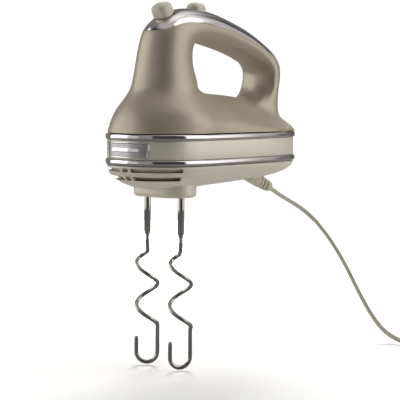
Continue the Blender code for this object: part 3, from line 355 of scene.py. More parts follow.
def boolean(item, cutter, operation):
    """Add an exact Boolean modifier, to be applied later."""
    mod = item.modifiers.new(cutter.name, "BOOLEAN")
    mod.operation = operation
    mod.solver = "EXACT"
    mod.object = cutter


def applied(item, sharp=35.0):
    """Apply an object's modifiers, tidy the normals and drop the tools that they used."""
    tools = {m.object for m in item.modifiers if m.type == "BOOLEAN"}
    bpy.context.view_layer.update()
    graph = bpy.context.evaluated_depsgraph_get()
    mesh = bpy.data.meshes.new_from_object(item.evaluated_get(graph), depsgraph=graph)
    item.modifiers.clear()
    item.data = mesh
    smooth(mesh, sharp)
    for each in tools:
        bpy.data.objects.remove(each, do_unlink=True)
    return item


def bridge(bm, loops, closed=False, caps=True):
    """Join rings of points into a skin; caps close its ends, closed joins last ring to first."""
    rings = [[bm.verts.new(p) for p in loop] for loop in loops]
    pairs = list(zip(rings, rings[1:]))
    if closed:
        pairs.append((rings[-1], rings[0]))
    for low, high in pairs:
        n = len(low)
        for i in range(n):
            j = (i + 1) % n
            bm.faces.new((low[i], low[j], high[j], high[i]))
    if caps and not closed:
        bm.faces.new(rings[0])
        bm.faces.new(rings[-1])
    bmesh.ops.recalc_face_normals(bm, faces=bm.faces)
    return rings


def turned(bm, profile, segments, at=(0, 0, 0), turn=None, closed=False):
    """Spin a (radius, height) profile round Z, then turn it and move it; open ends go to the axis."""
    loops = [level(squircle(max(r, 1e-3), max(r, 1e-3), 2, segments), h) for r, h in profile]
    made = bmesh.new()
    bridge(made, loops, closed=closed)
    move = Matrix.Translation(at) @ (turn or Matrix.Identity(4))
    bmesh.ops.transform(made, matrix=move, verts=made.verts)
    add(bm, made)


def add(bm, other):
    """Pour one bmesh into another."""
    mesh = bpy.data.meshes.new("pour")
    other.to_mesh(mesh)
    other.free()
    bm.from_mesh(mesh)
    bpy.data.meshes.remove(mesh)


def smooth_route(points, step):
    """Points along a Catmull-Rom curve through a given route, about one step apart."""
    pts = [Vector(p) for p in points]
    pts = [2 * pts[0] - pts[1]] + pts + [2 * pts[-1] - pts[-2]]
    out = []
    for a, b, c, d in zip(pts, pts[1:], pts[2:], pts[3:]):
        count = max(1, round((c - b).length / step))
        for k in range(count):
            t = k / count
            out.append(0.5 * (2 * b + (c - a) * t + (2 * a - 5 * b + 4 * c - d) * t * t
                              + (3 * b - a - 3 * c + d) * t ** 3))
    out.append(pts[-2])
    return out


def sweep(bm, path, section, side, growth=None):
    """Run a closed (across, up) section along a path; across starts square to the side vector."""
    loops = []
    tangent = (path[1] - path[0]).normalized()
    across = tangent.cross(side).normalized()
    for i, p in enumerate(path):
        ahead = (path[min(i + 1, len(path) - 1)] - path[max(i - 1, 0)]).normalized()
        across = (across - ahead * across.dot(ahead)).normalized()
        up = across.cross(ahead)
        scale = growth(i) if growth else 1
        loops.append([p + across * (x * scale) + up * (y * scale) for x, y in section])
    bridge(bm, loops)


def squircle(half_x, half_y, power, sides=48):
    """Superellipse outline."""
    out = []
    for k in range(sides):
        c, s = math.cos(2 * math.pi * k / sides), math.sin(2 * math.pi * k / sides)
        out.append((half_x * math.copysign(abs(c) ** (2 / power), c),
                    half_y * math.copysign(abs(s) ** (2 / power), s)))
    return out


def level(shape, z, x=0.0, y=0.0):
    """A flat (x, y) outline as points at a height, moved sideways."""
    return [(x + px, y + py, z) for px, py in shape]


def prism(bm, points, offset):
    """Extrude a flat outline by a vector."""
    made = bmesh.new()
    bridge(made, [points, [Vector(p) + Vector(offset) for p in points]])
    add(bm, made)


def block(bm, low, high, z, height):
    """Upright box between two (x, y) corners."""
    (x0, y0), (x1, y1) = low, high
    prism(bm, [(x0, y0, z), (x1, y0, z), (x1, y1, z), (x0, y1, z)], (0, 0, height))


# ---- plan outline

def outline_point(angle, inset=0.0):
    """Plan outline point; angle 0 is at +X, a quarter turn is the tail."""
    c, s = math.cos(angle), math.sin(angle)
    width = HALF_WIDTH - inset
    if s < 0:
        power, reach = NOSE_POWER, WIDEST_Y - NOSE_Y - inset
    else:
        power, reach = TAIL_POWER, TAIL_REACH - WIDEST_Y - inset
    x = width * math.copysign(abs(c) ** (2 / power), c)
    y = WIDEST_Y + reach * math.copysign(abs(s) ** (2 / power), s)
    return x, min(y, TAIL_Y - inset)


def plan_outline(inset, steps=110):
    """The whole outline, half its points round the nose and half round the tail."""
    nose = [outline_point(math.pi + math.pi * k / steps, inset) for k in range(steps)]
    tail = []
    for k in range(steps):
        t = k / steps
        tail.append(outline_point(math.pi * (t + 0.055 * math.sin(4 * math.pi * t)), inset))
    return nose + tail


def half_width_at(y, inset=0.0):
    """Half width of the outline at one station."""
    if y < WIDEST_Y:
        t, power = (WIDEST_Y - y) / (WIDEST_Y - NOSE_Y - inset), NOSE_POWER
    else:
        t, power = (y - WIDEST_Y) / (TAIL_REACH - WIDEST_Y - inset), TAIL_POWER
    return (HALF_WIDTH - inset) * max(0, 1 - min(1, t) ** power) ** (1 / power)


def nose_at(x, inset):
    """Where the nose's outline is, for a distance from the middle."""
    t = abs(x) / (HALF_WIDTH - inset)
    return WIDEST_Y - (WIDEST_Y - NOSE_Y - inset) * (1 - t ** NOSE_POWER) ** (1 / NOSE_POWER)


# ---- trim band

def outline_ring(layers):
    """A ring round the body with a closed section of (inset, z) points."""
    bm = bmesh.new()
    bridge(bm, [[(x, y, z) for x, y in plan_outline(inset)] for inset, z in layers], closed=True)
    return bm


def edge_arc(inset, z, radius, start, end, steps=5):
    """Quarter of a small rounding in (inset, z), centred a radius inside the outline."""
    out = []
    for k in range(steps + 1):
        a = math.radians(start + (end - start) * k / steps)
        out.append((inset + radius * (1 - math.cos(a)), z + radius * math.sin(a)))
    return out


def build_trim():
    """Two chrome strips with rolled edges and the cream band between them."""
    half, roll = STRIP_HEIGHT / 2, 1.35
    for name, z in (("upper_trim_strip", STRIP_CENTRE_Z), ("lower_trim_strip", -STRIP_CENTRE_Z)):
        section = [(STRIP_DEPTH, z - half)]
        section += edge_arc(0.05, z - half + roll, roll, -90, -8)
        section += [(0, z)]
        section += edge_arc(0.05, z + half - roll, roll, 8, 90)
        section += [(STRIP_DEPTH, z + half)]
        piece(name + "_fine", outline_ring(section), ROOT, "chrome", [name])
    high = STRIP_CENTRE_Z - half - GAP
    section = [(STRIP_PROUD + WALL, -high)]
    section += edge_arc(STRIP_PROUD, -high + 0.5, 0.5, -90, 0, 3)
    section += edge_arc(STRIP_PROUD, high - 0.5, 0.5, 0, 90, 3)
    section += [(STRIP_PROUD + WALL, high)]
    piece("middle_band_fine", outline_ring(section), ROOT, "cream_plastic", ["middle_band"])


BADGE_STRAIGHT, BADGE_CORNER = 40, 6          # steps along a long side and round one corner


def badge_loop(half_x, half_z, radius, inset):
    """Rounded rectangle wrapped round the nose: both long sides have matching points."""
    flat = []
    for side in (1, -1):
        for k in range(BADGE_STRAIGHT + 1):
            flat.append((side * (half_x - radius) * (1 - 2 * k / BADGE_STRAIGHT), side * half_z))
        for k in range(1, BADGE_CORNER * 2):
            a = side * math.pi / 2 + math.pi * k / (BADGE_CORNER * 2)
            flat.append((-side * (half_x - radius) + radius * math.cos(a),
                         math.copysign(half_z - radius, math.sin(a)) + radius * math.sin(a)))
    return [(x, nose_at(x, inset), z) for x, z in flat]


def badge_body(half_x, half_z, steps):
    """A closed raised body from (shrink, corner radius, inset) steps, and the faces of its front."""
    bm = bmesh.new()
    loops = [badge_loop(half_x - d, half_z - d, r, inset) for d, r, inset in steps]
    rings = bridge(bm, loops, caps=False)
    side, turn = BADGE_STRAIGHT, 2 * BADGE_CORNER
    for ring in (rings[0], rings[-1]):
        top, bottom = ring[:side + 1], ring[side + turn:2 * side + turn + 1]
        front = []
        for k in range(side):
            front.append(bm.faces.new((top[k], top[k + 1], bottom[side - k - 1], bottom[side - k])))
        front.append(bm.faces.new(ring[side:side + turn + 1]))
        front.append(bm.faces.new(ring[2 * side + turn:] + [ring[0]]))
    bmesh.ops.recalc_face_normals(bm, faces=bm.faces)
    return bm, front


def build_badge():
    """Blank badge: a polished raised frame round a brushed field with one plain raised bar."""
    plate, field = badge_body(24, 7.1, [
        (0, 3, STRIP_PROUD - GAP), (0, 3, 0.75), (0.12, 2.9, 0.35), (0.4, 2.6, 0.12),
        (0.8, 2.2, 0.1), (1.2, 1.8, 0.2), (1.45, 1.6, 0.5), (1.55, 1.5, 0.85)])
    for face in field:
        face.material_index = 1
    bar, _ = badge_body(17, 1.7, [
        (0, 1.7, 0.8), (0, 1.7, 0.55), (0.25, 1.45, 0.4), (0.6, 1.1, 0.36)])
    piece("front_badge_frame", plate, ROOT, "steel", ["front_badge"], 50,
          [MATERIALS["chrome"], brushed_silver()])
    piece("front_badge_bar", bar, ROOT, "chrome", ["front_badge"], 50)


# ---- upper housing and cap

UPPER_RIM_Z = 14.5
# One column per place round the half outline: rim station y, then shoulder and crease points
SKIRT = [
    (-103.4, (0, -100.6, 25), (0, -93.8, 37)),
    (-95.5, (25.8, -92.8, 25), (22.8, -86.8, 37)),
    (-62, (46, -61, 25), (39.6, -58, 37)),
    (-30, (46.5, -29, 24.5), (36, -22, 37)),
    (2, (45.8, 3, 23), (34.6, 4, 33.6)),
    (35, (44.9, 35, 20), (37, 36, 26.4)),
    (62, (43.6, 61.5, 17.4), (39.4, 60, 19.6)),
    (85, (40.2, 84, 16.6), (36, 82, 19)),
    (99.5, (26.8, 97, 20.8), (21, 91.6, 27.4)),
    (102.3, (0, 99.8, 21.4), (0, 94.8, 28.6)),
]
LOOP = [
    ((-84.3, 49.5), (-16.5, 50.5), 29.8),
    ((-80.7, 59), (-21.4, 59), 26.5),
    ((-78.3, 71), (-25, 70), 24.5),
    ((-76, 84), (-26.3, 80), 23),
    ((-73.3, 95), (-25, 88.5), 22.3),
    ((-69, 105), (-20.5, 94.5), 22),
    ((-60, 114), (-12, 96.2), 21.5),
    ((-44, 121.8), (-2, 94.7), 21),
    ((-24, 125.2), (10, 92.2), 20.5),
    ((2, 123.2), (23, 89.5), 20),
    ((28, 117), (36, 86.7), 19.6),
    ((52, 109.5), (50, 83), 19.2),
    ((76, 98.6), (64, 78.6), 19.2),
    ((93, 86.5), (75, 74), 19.6),
    ((100.5, 75), (79.6, 67.5), 20),
    ((100.8, 62), (79, 60), 20),
    ((98, 50.5), (76, 52), 20.6),
]
FOOT_RING = [(0, 96, 34), (17.5, 93.2, 33.6), (24, 80, 32.2), (20.6, 61, 37),
             (0, 66, 45.2)]
DECK_EDGE = [(17, 5, 44.6), (19.2, 37, 40.8)]
DECK_RIDGE = [(0, 10, 48.6), (0, 40, 46.4)]
RING_SQUARENESS = 0.735
POST_Y, POST_LEAN = 92, 0.25                # rings behind this station lean, see loop_ring
DECK_CREASES = (0.7, 0.4)                     # sharpness of the deck's lower and upper edge
SKIN_LEVEL = 3
CAP_LINE = [(-95, 103.9), (-68.5, 104.3), (-62, 105.8), (-54, 108.7), (-45, 111),
            (-34, 111.9), (-20, 111.5), (-5, 110.1), (16, 107), (31, 103.8),
            (46, 99.3), (62, 93.8), (76.5, 88.6), (88.5, 84.6), (112, 76)]


def loop_ring(outer, inner, half_width, lean=0.0):
    """Five points from the outer middle round one side to the inner middle.

    lean moves the widest point towards the inner side and fills out the outer corner.
    """
    out, inn = Vector((0, *outer)), Vector((0, *inner))
    centre, arm = (out + inn) / 2, (out - inn) / 2
    side = Vector((half_width, 0, 0))
    q = RING_SQUARENESS
    return [out, centre + q * arm + (q + 0.3 * lean) * side, centre - lean * arm + side,
            centre - q * arm + (q - 0.15 * lean) * side, inn]


def housing_points():
    """Surface points, quads and creased edges of the upper housing's skin, both sides."""
    points, keys, quads, creases = [], {}, [], {}

    def put(p, mirrored):
        p = (-p[0] if mirrored else p[0], p[1], p[2])
        key = tuple(round(v, 4) for v in p)
        if key not in keys:
            keys[key] = len(points)
            points.append(p)
        return keys[key]

    rings = [loop_ring(*row, POST_LEAN if row[0][0] > POST_Y else 0) for row in LOOP] + [FOOT_RING]
    rim = []
    for y, shoulder, _ in SKIRT:
        x = 0 if shoulder[0] == 0 else half_width_at(y, 1)
        rim.append((x, y, UPPER_RIM_Z))
    stem, post = rings[0], rings[-1]
    crease_row = [c[2] for c in SKIRT]
    top_row = [*stem[:4], *DECK_EDGE, post[3], post[2], post[1], post[0]]
    rows = [rim, [c[1] for c in SKIRT], crease_row, top_row]
    ridge = [stem[4], *DECK_RIDGE, post[4]]
    edge = [stem[3], *DECK_EDGE, post[3]]
    for mirrored in (False, True):
        for grid in (rows, [ridge, edge], list(zip(*rings))):
            for low, high in zip(grid, grid[1:]):
                for i in range(len(low) - 1):
                    quad = [low[i], low[i + 1], high[i + 1], high[i]]
                    quads.append([put(p, mirrored) for p in quad])
        for line, sharpness in zip((crease_row[3:8], top_row[3:8]), DECK_CREASES):
            for a, b in zip(line, line[1:]):
                pair = put(a, mirrored), put(b, mirrored)
                creases[(min(pair), max(pair))] = sharpness
    return np.array([list(p) for p in points]), quads, creases


def limit_cage(points, quads):
    """Control points whose Catmull-Clark surface passes through the given points."""
    count = len(points)
    beside = [set() for _ in range(count)]
    across = [[] for _ in range(count)]
    uses = {}
    for quad in quads:
        for k in range(4):
            a, b, c = quad[k], quad[(k + 1) % 4], quad[(k + 2) % 4]
            beside[a].add(b)
            beside[b].add(a)
            across[a].append(c)
            edge = (min(a, b), max(a, b))
            uses[edge] = uses.get(edge, 0) + 1
    border = [set() for _ in range(count)]
    for (a, b), n in uses.items():
        if n == 1:
            border[a].add(b)
            border[b].add(a)
    weights = np.zeros((count, count))
    for i in range(count):
        if border[i]:
            weights[i, i] = 4 / 6
            for j in border[i]:
                weights[i, j] = 1 / 6
            continue
        n = len(beside[i])
        total = n * n + 5 * n
        weights[i, i] = n * n / total
        for j in beside[i]:
            weights[i, j] += 4 / total
        for j in across[i]:
            weights[i, j] += 1 / total
    return np.linalg.solve(weights, points)


def housing_shell(name, slot):
    """The hollow skin of the upper housing, before the cap is parted from it."""
    points, quads, creases = housing_points()
    bm = bmesh.new()
    verts = [bm.verts.new(p) for p in limit_cage(points, quads)]
    for quad in quads:
        bm.faces.new([verts[i] for i in quad])
    bmesh.ops.recalc_face_normals(bm, faces=bm.faces)
    bm.edges.ensure_lookup_table()
    layer = bm.edges.layers.float.new("crease_edge")
    bm.verts.index_update()
    for edge in bm.edges:
        pair = tuple(sorted(v.index for v in edge.verts))
        edge[layer] = creases.get(pair, 0)
    item = piece(name, bm, None, slot)
    surface = item.modifiers.new("surface", "SUBSURF")
    surface.levels = surface.render_levels = SKIN_LEVEL
    wall = item.modifiers.new("wall", "SOLIDIFY")
    wall.thickness = WALL * MM
    wall.offset = -1
    return item


def cap_prism(shift):
    """Everything above the cap's joint line, moved up or down by a small shift."""
    line = smooth_route([(0, y, z) for y, z in CAP_LINE], 2.5)
    points = [(-40, p[1], p[2] + shift) for p in line]
    points += [(-40, 112, 150), (-40, -95, 150)]
    bm = bmesh.new()
    prism(bm, points, (80, 0, 0))
    return bm


def build_upper_housing():
    """Lacquered shell and chrome cap, parted along the joint line with a hairline gap."""
    shell = housing_shell("upper_housing_shell", "taupe_paint")
    boolean(shell, tool("above_joint", cap_prism(-GAP / 2)), "DIFFERENCE")
    settle(applied(shell, 50), ROOT, "taupe_paint", "upper_housing")
    cap = housing_shell("handle_cap_shell", "chrome")
    boolean(cap, tool("cap_space", cap_prism(GAP / 2)), "INTERSECT")
    bm = bmesh.new()
    outline = squircle(BUTTON_HALF[0] + 0.5, BUTTON_HALF[1] + 0.5, BUTTON_POWER)
    prism(bm, level(outline, -12), (0, 0, 32))
    bmesh.ops.transform(bm, matrix=button_frame(), verts=bm.verts)
    boolean(cap, tool("button_opening", bm), "DIFFERENCE")
    bm = bmesh.new()
    prism(bm, level(squircle(3, 11.5, 6, 32), 112, y=KNOB_AT[1] - 7.5), (0, 0, 28))
    boolean(cap, tool("knob_slot", bm), "DIFFERENCE")
    settle(applied(cap, 50), ROOT, "chrome", "handle_cap")


# ---- controls

BUTTON_TILT = math.radians(26)
BUTTON_AT = (0, -52.8, 117.8)
BUTTON_HALF = (8.5, 8.1)
BUTTON_POWER = 3.6
KNOB_AT = (0, -8.6, 125.2)


def button_frame():
    """Matrix of the eject button: its Z leaves the tilted front of the cap."""
    return Matrix.Translation(BUTTON_AT) @ Matrix.Rotation(BUTTON_TILT, 4, "X")


def pebble(half_x, half_y, power, low, high, edge, crown):
    """A rounded block: straight flanks, rolled top edge and a slightly crowned top."""
    flank_steps, edge_steps = 4, 8
    loops = []
    for k in range(flank_steps + 1):
        z = low + (high - edge - low) * (k / flank_steps)
        loops.append(level(squircle(half_x, half_y, power), z))
    for k in range(1, edge_steps + 1):
        a = math.pi / 2 * k / edge_steps
        shrink = edge * (1 - math.cos(a))
        shape = squircle(half_x - shrink, half_y - shrink, power)
        loops.append(level(shape, high - edge + edge * math.sin(a)))
    top = loops[-1]
    for t in (0.75, 0.5, 0.25, 0.02):
        loops.append([(x * t, y * t, high + crown * (1 - t * t)) for x, y, _ in top])
    bm = bmesh.new()
    bridge(bm, loops)
    return bm


def build_controls():
    """Eject button on the tilted nose of the cap and the speed knob behind it."""
    bm = pebble(BUTTON_HALF[0] + 0.1, BUTTON_HALF[1] + 0.1, 3, 0.4, 11.2, 4.4, 0.9)
    prism(bm, level(squircle(7.4, 7, 3), -4.5), (0, 0, 6))
    turned(bm, [(0, -12), (3, -12), (3, -4), (0, -4)], 24)
    bmesh.ops.transform(bm, matrix=button_frame(), verts=bm.verts)
    piece("eject_button_cap", bm, "eject_button_body", "cream_plastic", ["eject_button"], mats=[KEYS])
    bm = pebble(7.6, 8.8, 2.8, -0.4, 5.8, 5.6, 0.9)
    for vert in bm.verts:
        if vert.co.z < 1.7:
            vert.co.z -= vert.co.x ** 2 / 38 * (1.7 - vert.co.z) / 2.1
    turned(bm, [(0, -12), (2.4, -12), (2.4, 1), (0, 1)], 24)
    bmesh.ops.translate(bm, verts=bm.verts, vec=KNOB_AT)
    piece("speed_knob_cap", bm, "speed_control", "cream_plastic", ["speed_knob"], mats=[KEYS])


# ---- lower housing

LOWER_RIM_Z, HULL_DEPTH, HULL_SLOPE, HULL_POWER = -14.2, 20.2, 0.043, 2.05
BOSS_Y, BOSS_HALF, BOSS_BOTTOM_Z = -50, (31, 19.3), -43
MOUTH_HALF = (27.2, 15.4)
VENT_ROWS = [(-17.6, 3.4), (-24.9, 3.8)]
VENT_STRETCHES = [(94, 86), (82.5, 27)]
SCREW_AT = [(17, 52), (-17, 52)]
GLAND_ROOT, GLAND_TIP = (0, 78, -31.4), (0, 104.2, -42.3)


def hull(inset, rise, drop):
    """Boat-shaped solid; inset, rise and drop make the matching hollow."""
    loops = []
    rows, last = 16, math.radians(84)
    outline = plan_outline(STRIP_PROUD + inset, 60)
    for row in range(rows):
        phi = last * row / (rows - 1)
        reach = math.cos(phi) ** (2 / HULL_POWER)
        depth = (math.sin(phi) / math.sin(last)) ** (2 / HULL_POWER)
        loop = []
        for x, y in outline:
            y = y * (0.5 + 0.5 * reach)
            full = HULL_DEPTH - HULL_SLOPE * y - rise
            loop.append((x * reach, y, LOWER_RIM_Z + drop - (full + drop) * depth))
        loops.append(loop)
    bm = bmesh.new()
    bridge(bm, loops)
    return bm


def stadium(half_x, half_y):
    """Outline with round ends left and right."""
    points, steps = [], 20
    for side in (1, -1):
        for k in range(steps + 1):
            a = math.pi * (k / steps - 0.5) + (0 if side > 0 else math.pi)
            points.append((side * (half_x - half_y) + half_y * math.cos(a), half_y * math.sin(a)))
    return points


def boss(shrink, low, high, rounding):
    """The spindle boss, or its hollow, with a rolled lower edge."""
    loops = []
    for k in range(7):
        a = math.pi / 2 * k / 6
        cut = shrink + rounding * (1 - math.sin(a))
        shape = stadium(BOSS_HALF[0] - cut, BOSS_HALF[1] - cut)
        loops.append(level(shape, low + rounding * (1 - math.cos(a)), y=BOSS_Y))
    shape = stadium(BOSS_HALF[0] - shrink, BOSS_HALF[1] - shrink)
    loops.append(level(shape, high, y=BOSS_Y))
    bm = bmesh.new()
    bridge(bm, loops)
    return bm


def vent_slots():
    """Slots wrapping the nose in two rows: a short middle one and a long one on each side."""
    bm = bmesh.new()
    for z, height in VENT_ROWS:
        for start, end in VENT_STRETCHES:
            for side in ((1, -1) if start < 90 else (1,)):
                outer, inner = [], []
                for k in range(17):
                    a = math.radians(start + (end - start) * k / 16)
                    x, y = side * math.cos(a), math.sin(a)
                    outer.append((52 * x, WIDEST_Y - 58 * y, z - height / 2))
                    inner.append((30 * x, WIDEST_Y - 34 * y, z - height / 2))
                prism(bm, outer + inner[::-1], (0, 0, height))
    return bm


def add_baffle(item):
    """Thin inner wall close behind the vent slots, as part of the lower shell."""
    wall = piece("baffle", hull(WALL + 1.3, WALL + 1.3, 1), None, "cream_plastic")
    boolean(wall, tool("baffle_hollow", hull(WALL + 2.3, WALL + 2.3, 2)), "DIFFERENCE")
    bm = bmesh.new()
    block(bm, (-60, -110), (60, -42), -30, 15.2)
    boolean(wall, tool("baffle_reach", bm), "INTERSECT")
    wall = applied(wall, 30)
    bm = bmesh.new()
    bm.from_mesh(item.data)
    bm.from_mesh(wall.data)
    bm.to_mesh(item.data)
    bm.free()
    bpy.data.objects.remove(wall)


def gland_turn():
    """Rotation that takes +Z to the gland's direction."""
    way = (Vector(GLAND_TIP) - Vector(GLAND_ROOT)).normalized()
    return way.to_track_quat("Z", "Y").to_matrix().to_4x4()


def build_lower_housing():
    """Boat-shaped lower shell with its boss, vent slots, screw wells and gland hole."""
    item = piece("lower_housing_shell", hull(0, 0, 0), None, "cream_plastic")
    boolean(item, tool("boss_outside", boss(0, BOSS_BOTTOM_Z, -24, 3.2)), "UNION")
    boolean(item, tool("hull_hollow", hull(WALL, WALL, 1)), "DIFFERENCE")
    boolean(item, tool("boss_hollow", boss(WALL, BOSS_BOTTOM_Z + WALL, -22, 1)), "DIFFERENCE")
    boolean(item, tool("vents", vent_slots()), "DIFFERENCE")
    holes = bmesh.new()
    prism(holes, level(stadium(*MOUTH_HALF), -50, y=BOSS_Y), (0, 0, 12))
    for x, y in SCREW_AT:
        turned(holes, [(0, -38), (3.9, -38), (3.9, -26), (0, -26)], 32, (x, y, 0))
    turned(holes, [(0, -16), (6.3, -16), (6.3, 24), (0, 24)], 32, GLAND_ROOT, gland_turn())
    boolean(item, tool("holes", holes), "DIFFERENCE")
    item = applied(item, 30)
    add_baffle(item)
    settle(item, ROOT, "cream_plastic", "lower_housing")


def build_screws():
    """Pan-head screws with a cross recess."""
    for (x, y), side in zip(SCREW_AT, ("left", "right")):
        head = LOWER_RIM_Z - HULL_DEPTH + HULL_SLOPE * y + 0.6
        bm = bmesh.new()
        turned(bm, [(0, head), (1.6, head), (2.4, head + 0.25), (3, head + 0.8), (3.3, head + 1.6),
                    (3.3, head + 2.2), (1.5, head + 2.2), (1.5, head + 23), (0, head + 24)],
               32, (x, y, 0))
        item = piece(f"housing_screw_{side}_fine", bm, None, "steel")
        cross = bmesh.new()
        for half_x, half_y in ((2, 0.42), (0.42, 2)):
            block(cross, (x - half_x, y - half_y), (x + half_x, y + half_y), head - 1, 2.2)
        boolean(item, tool("cross", cross), "DIFFERENCE")
        item.modifiers[-1].use_self = True
        settle(applied(item), ROOT, "steel", f"housing_screw_{side}")


# ---- dough hooks

WIRE_R, SLEEVE_R, COIL_R, COIL_PITCH, HOOK_BEND_R, HOOK_LOW_Z = 1.8, 3, 9.6, 38.5, 9.6, -197.5
SLEEVE_TOP_Z, SLEEVE_BOTTOM_Z = -16, -78.3
TIP_GROWTH = (0.84, 0.96, 1)                # rounding of the wire's ends, step by step
HOOK_TURNS = (("left", 1, 62), ("right", -1, 38))


def hook_wire(final_angle):
    """Centre line of one hook about its own axis: shank, corkscrew, straight leg, upturned end."""
    points = [(0, 0, z) for z in (-44, -60, -78, -86)]
    top, turns, per_turn = -91, 1.825, 16
    steps = round(turns * per_turn)
    for k in range(1, steps + 1):
        t = turns * k / steps
        a = final_angle - 2 * math.pi * (turns - t)
        r = COIL_R * math.sin(math.pi / 2 * min(1, t / 0.33))
        points.append((r * math.cos(a), r * math.sin(a), top - COIL_PITCH * t))
    out = Vector((math.cos(final_angle), math.sin(final_angle)))
    leg = HOOK_LOW_Z + WIRE_R + HOOK_BEND_R
    points.append((*(out * HOOK_BEND_R), (points[-1][2] + leg) / 2 - 1))
    for k in range(9):
        a = math.pi * k / 8
        spot = out * (HOOK_BEND_R * math.cos(a))
        points.append((*spot, leg - HOOK_BEND_R * math.sin(a)))
    points.append((*(out * -HOOK_BEND_R), leg + 14))
    return points


def build_hooks():
    """Bright bent wire with rounded tips, each crimped in a polished sleeve."""
    for side, sign, angle in HOOK_TURNS:
        axis = Vector((sign * HOOK_X, HOOK_Y, 0))
        path = [p + axis for p in smooth_route(hook_wire(math.radians(angle)), 1.1)]
        last = len(path) - 1

        def growth(i):
            return TIP_GROWTH[min(i, last - i, len(TIP_GROWTH) - 1)]

        bm = bmesh.new()
        sweep(bm, path, squircle(WIRE_R, WIRE_R, 2, 20), Vector((0, 1, 0)), growth)
        piece(f"{side}_dough_hook_wire", bm, f"{side}_hook", "steel", [f"{side}_dough_hook"],
              mats=[WIRE])
        bm = bmesh.new()
        bore, top, low = WIRE_R + 0.1, SLEEVE_TOP_Z, SLEEVE_BOTTOM_Z
        turned(bm, [(bore, top), (2.2, top), (2.8, top - 0.6), (SLEEVE_R, top - 1.4),
                    (SLEEVE_R, low + 3.4), (2.86, low + 2.6), (2.45, low + 1.9), (2.4, low + 1.2),
                    (2.62, low + 0.7), (2.5, low + 0.1), (bore, low)], 40, axis, closed=True)
        piece(f"{side}_hook_sleeve_fine", bm, f"{side}_hook", "steel", [f"{side}_hook_sleeve"], 25,
              [WIRE])


# ---- cord, gland, plug

CORD_WIDE, CORD_THICK = 5.2, 3.5
RING_CENTRE = (168, 158)
RING_R = 5.5 * CORD_WIDE
RING_WIDE_HALF = 1.5 * CORD_WIDE
LIE_Z = FLOOR_Z + CORD_WIDE / 2
CORD_ROUTE = [
    (0, 104.6, -42.5), (0, 118, -48.9), (0.6, 131, -54.9), (3, 143, -60.8),
    (8.5, 154.5, -69.2), (17, 165, -82), (28, 173.5, -100), (40, 180, -122),
    (52, 184.8, -146), (65, 188, -168), (81, 190.3, -186), (101, 191.6, -194.6),
    (125, 191.8, LIE_Z), (149, 191.8, LIE_Z),
]
PLUG_X = RING_CENTRE[0] + RING_R + CORD_WIDE
PLUG_BACK_Y, PLUG_HALF, PLUG_LENGTH = 108, (17.6, 6.85), 35
PIN_R, PIN_LENGTH, PIN_SPACING = 2, 19, 18.6


def coil_turns():
    """Six turns: three outwards on the floor, three back inwards on top, then out to the plug."""
    points = []
    low = FLOOR_Z + CORD_THICK / 2 + 0.5
    total, per_turn, start = 6.25, 24, math.pi / 2
    steps = round(total * per_turn)
    for k in range(steps + 1):
        t = total * k / steps
        a = start - 2 * math.pi * t
        lane = min(t, 2.6) if t < 3.1 else max(0, 5.7 - t)
        climb = min(1, max(0, (t - 2.75) / 0.35))
        climb = climb * climb * (3 - 2 * climb)
        r = RING_R + CORD_WIDE * 1.02 * (1.25 - min(lane, 2.5))
        points.append((RING_CENTRE[0] + r * math.cos(a), RING_CENTRE[1] + r * math.sin(a),
                       low + climb * (CORD_THICK + 0.1)))
    return points


def cord_section():
    """Flat twin lead: two round cores side by side in one sheath."""
    out, sides = [], 24
    for k in range(sides):
        a = 2 * math.pi * k / sides
        c, s = math.cos(a), math.sin(a)
        waist = 1 - 0.16 * math.exp(-(c / 0.22) ** 2)
        out.append((CORD_WIDE / 2 * math.copysign(abs(c) ** 0.8, c),
                    CORD_THICK / 2 * math.copysign(abs(s) ** 0.8, s) * waist))
    return out


def build_cord():
    """Gland, lead, coil, tie and plug."""
    middle = FLOOR_Z + PLUG_HALF[1]
    tail = [(PLUG_X + 0.5, 140, FLOOR_Z + 4.6), (PLUG_X, 131, FLOOR_Z + 4.2),
            (PLUG_X, 124, middle - 0.9), (PLUG_X, 117, middle), (PLUG_X, 110, middle)]
    path = smooth_route(CORD_ROUTE[:-1] + coil_turns() + tail, 2.2)
    bm = bmesh.new()
    sweep(bm, path, cord_section(), Vector((0, 0.38, 0.92)))
    cord = piece("mains_lead", bm, ROOT, "cream_plastic", ["power_cord", "cord_coil", "cord_tail"],
                 mats=[FLEX])
    build_gland()
    tie = build_tie()
    plug = build_plug(middle)


def build_gland():
    """Ribbed, tapered strain relief with a rounded-square section."""
    length = (Vector(GLAND_TIP) - Vector(GLAND_ROOT)).length
    levels = [(5.9, -9), (5.9, -4), (5.9, 0), (5.9, 8), (5.8, 8.5)]
    ribs, pitch = 3, 5.6
    for k in range(ribs):
        z, r = 8.8 + pitch * k, 5.7 - 0.35 * k
        levels += [(r - 1.9, z), (r - 1.9, z + 1), (r - 0.25, z + 1.1), (r, z + 1.4),
                   (r, z + pitch - 1.4), (r - 0.25, z + pitch - 1.1)]
    levels += [(4.6, length - 1), (4.3, length - 0.4), (3.6, length)]
    bm = bmesh.new()
    bridge(bm, [level(squircle(r, r, 3.4, 36), z) for r, z in levels])
    turn = Matrix.Translation(GLAND_ROOT) @ gland_turn()
    bmesh.ops.transform(bm, matrix=turn, verts=bm.verts)
    piece("cord_gland_fine", bm, ROOT, "cream_plastic", ["cord_gland"], 40, [FLEX])


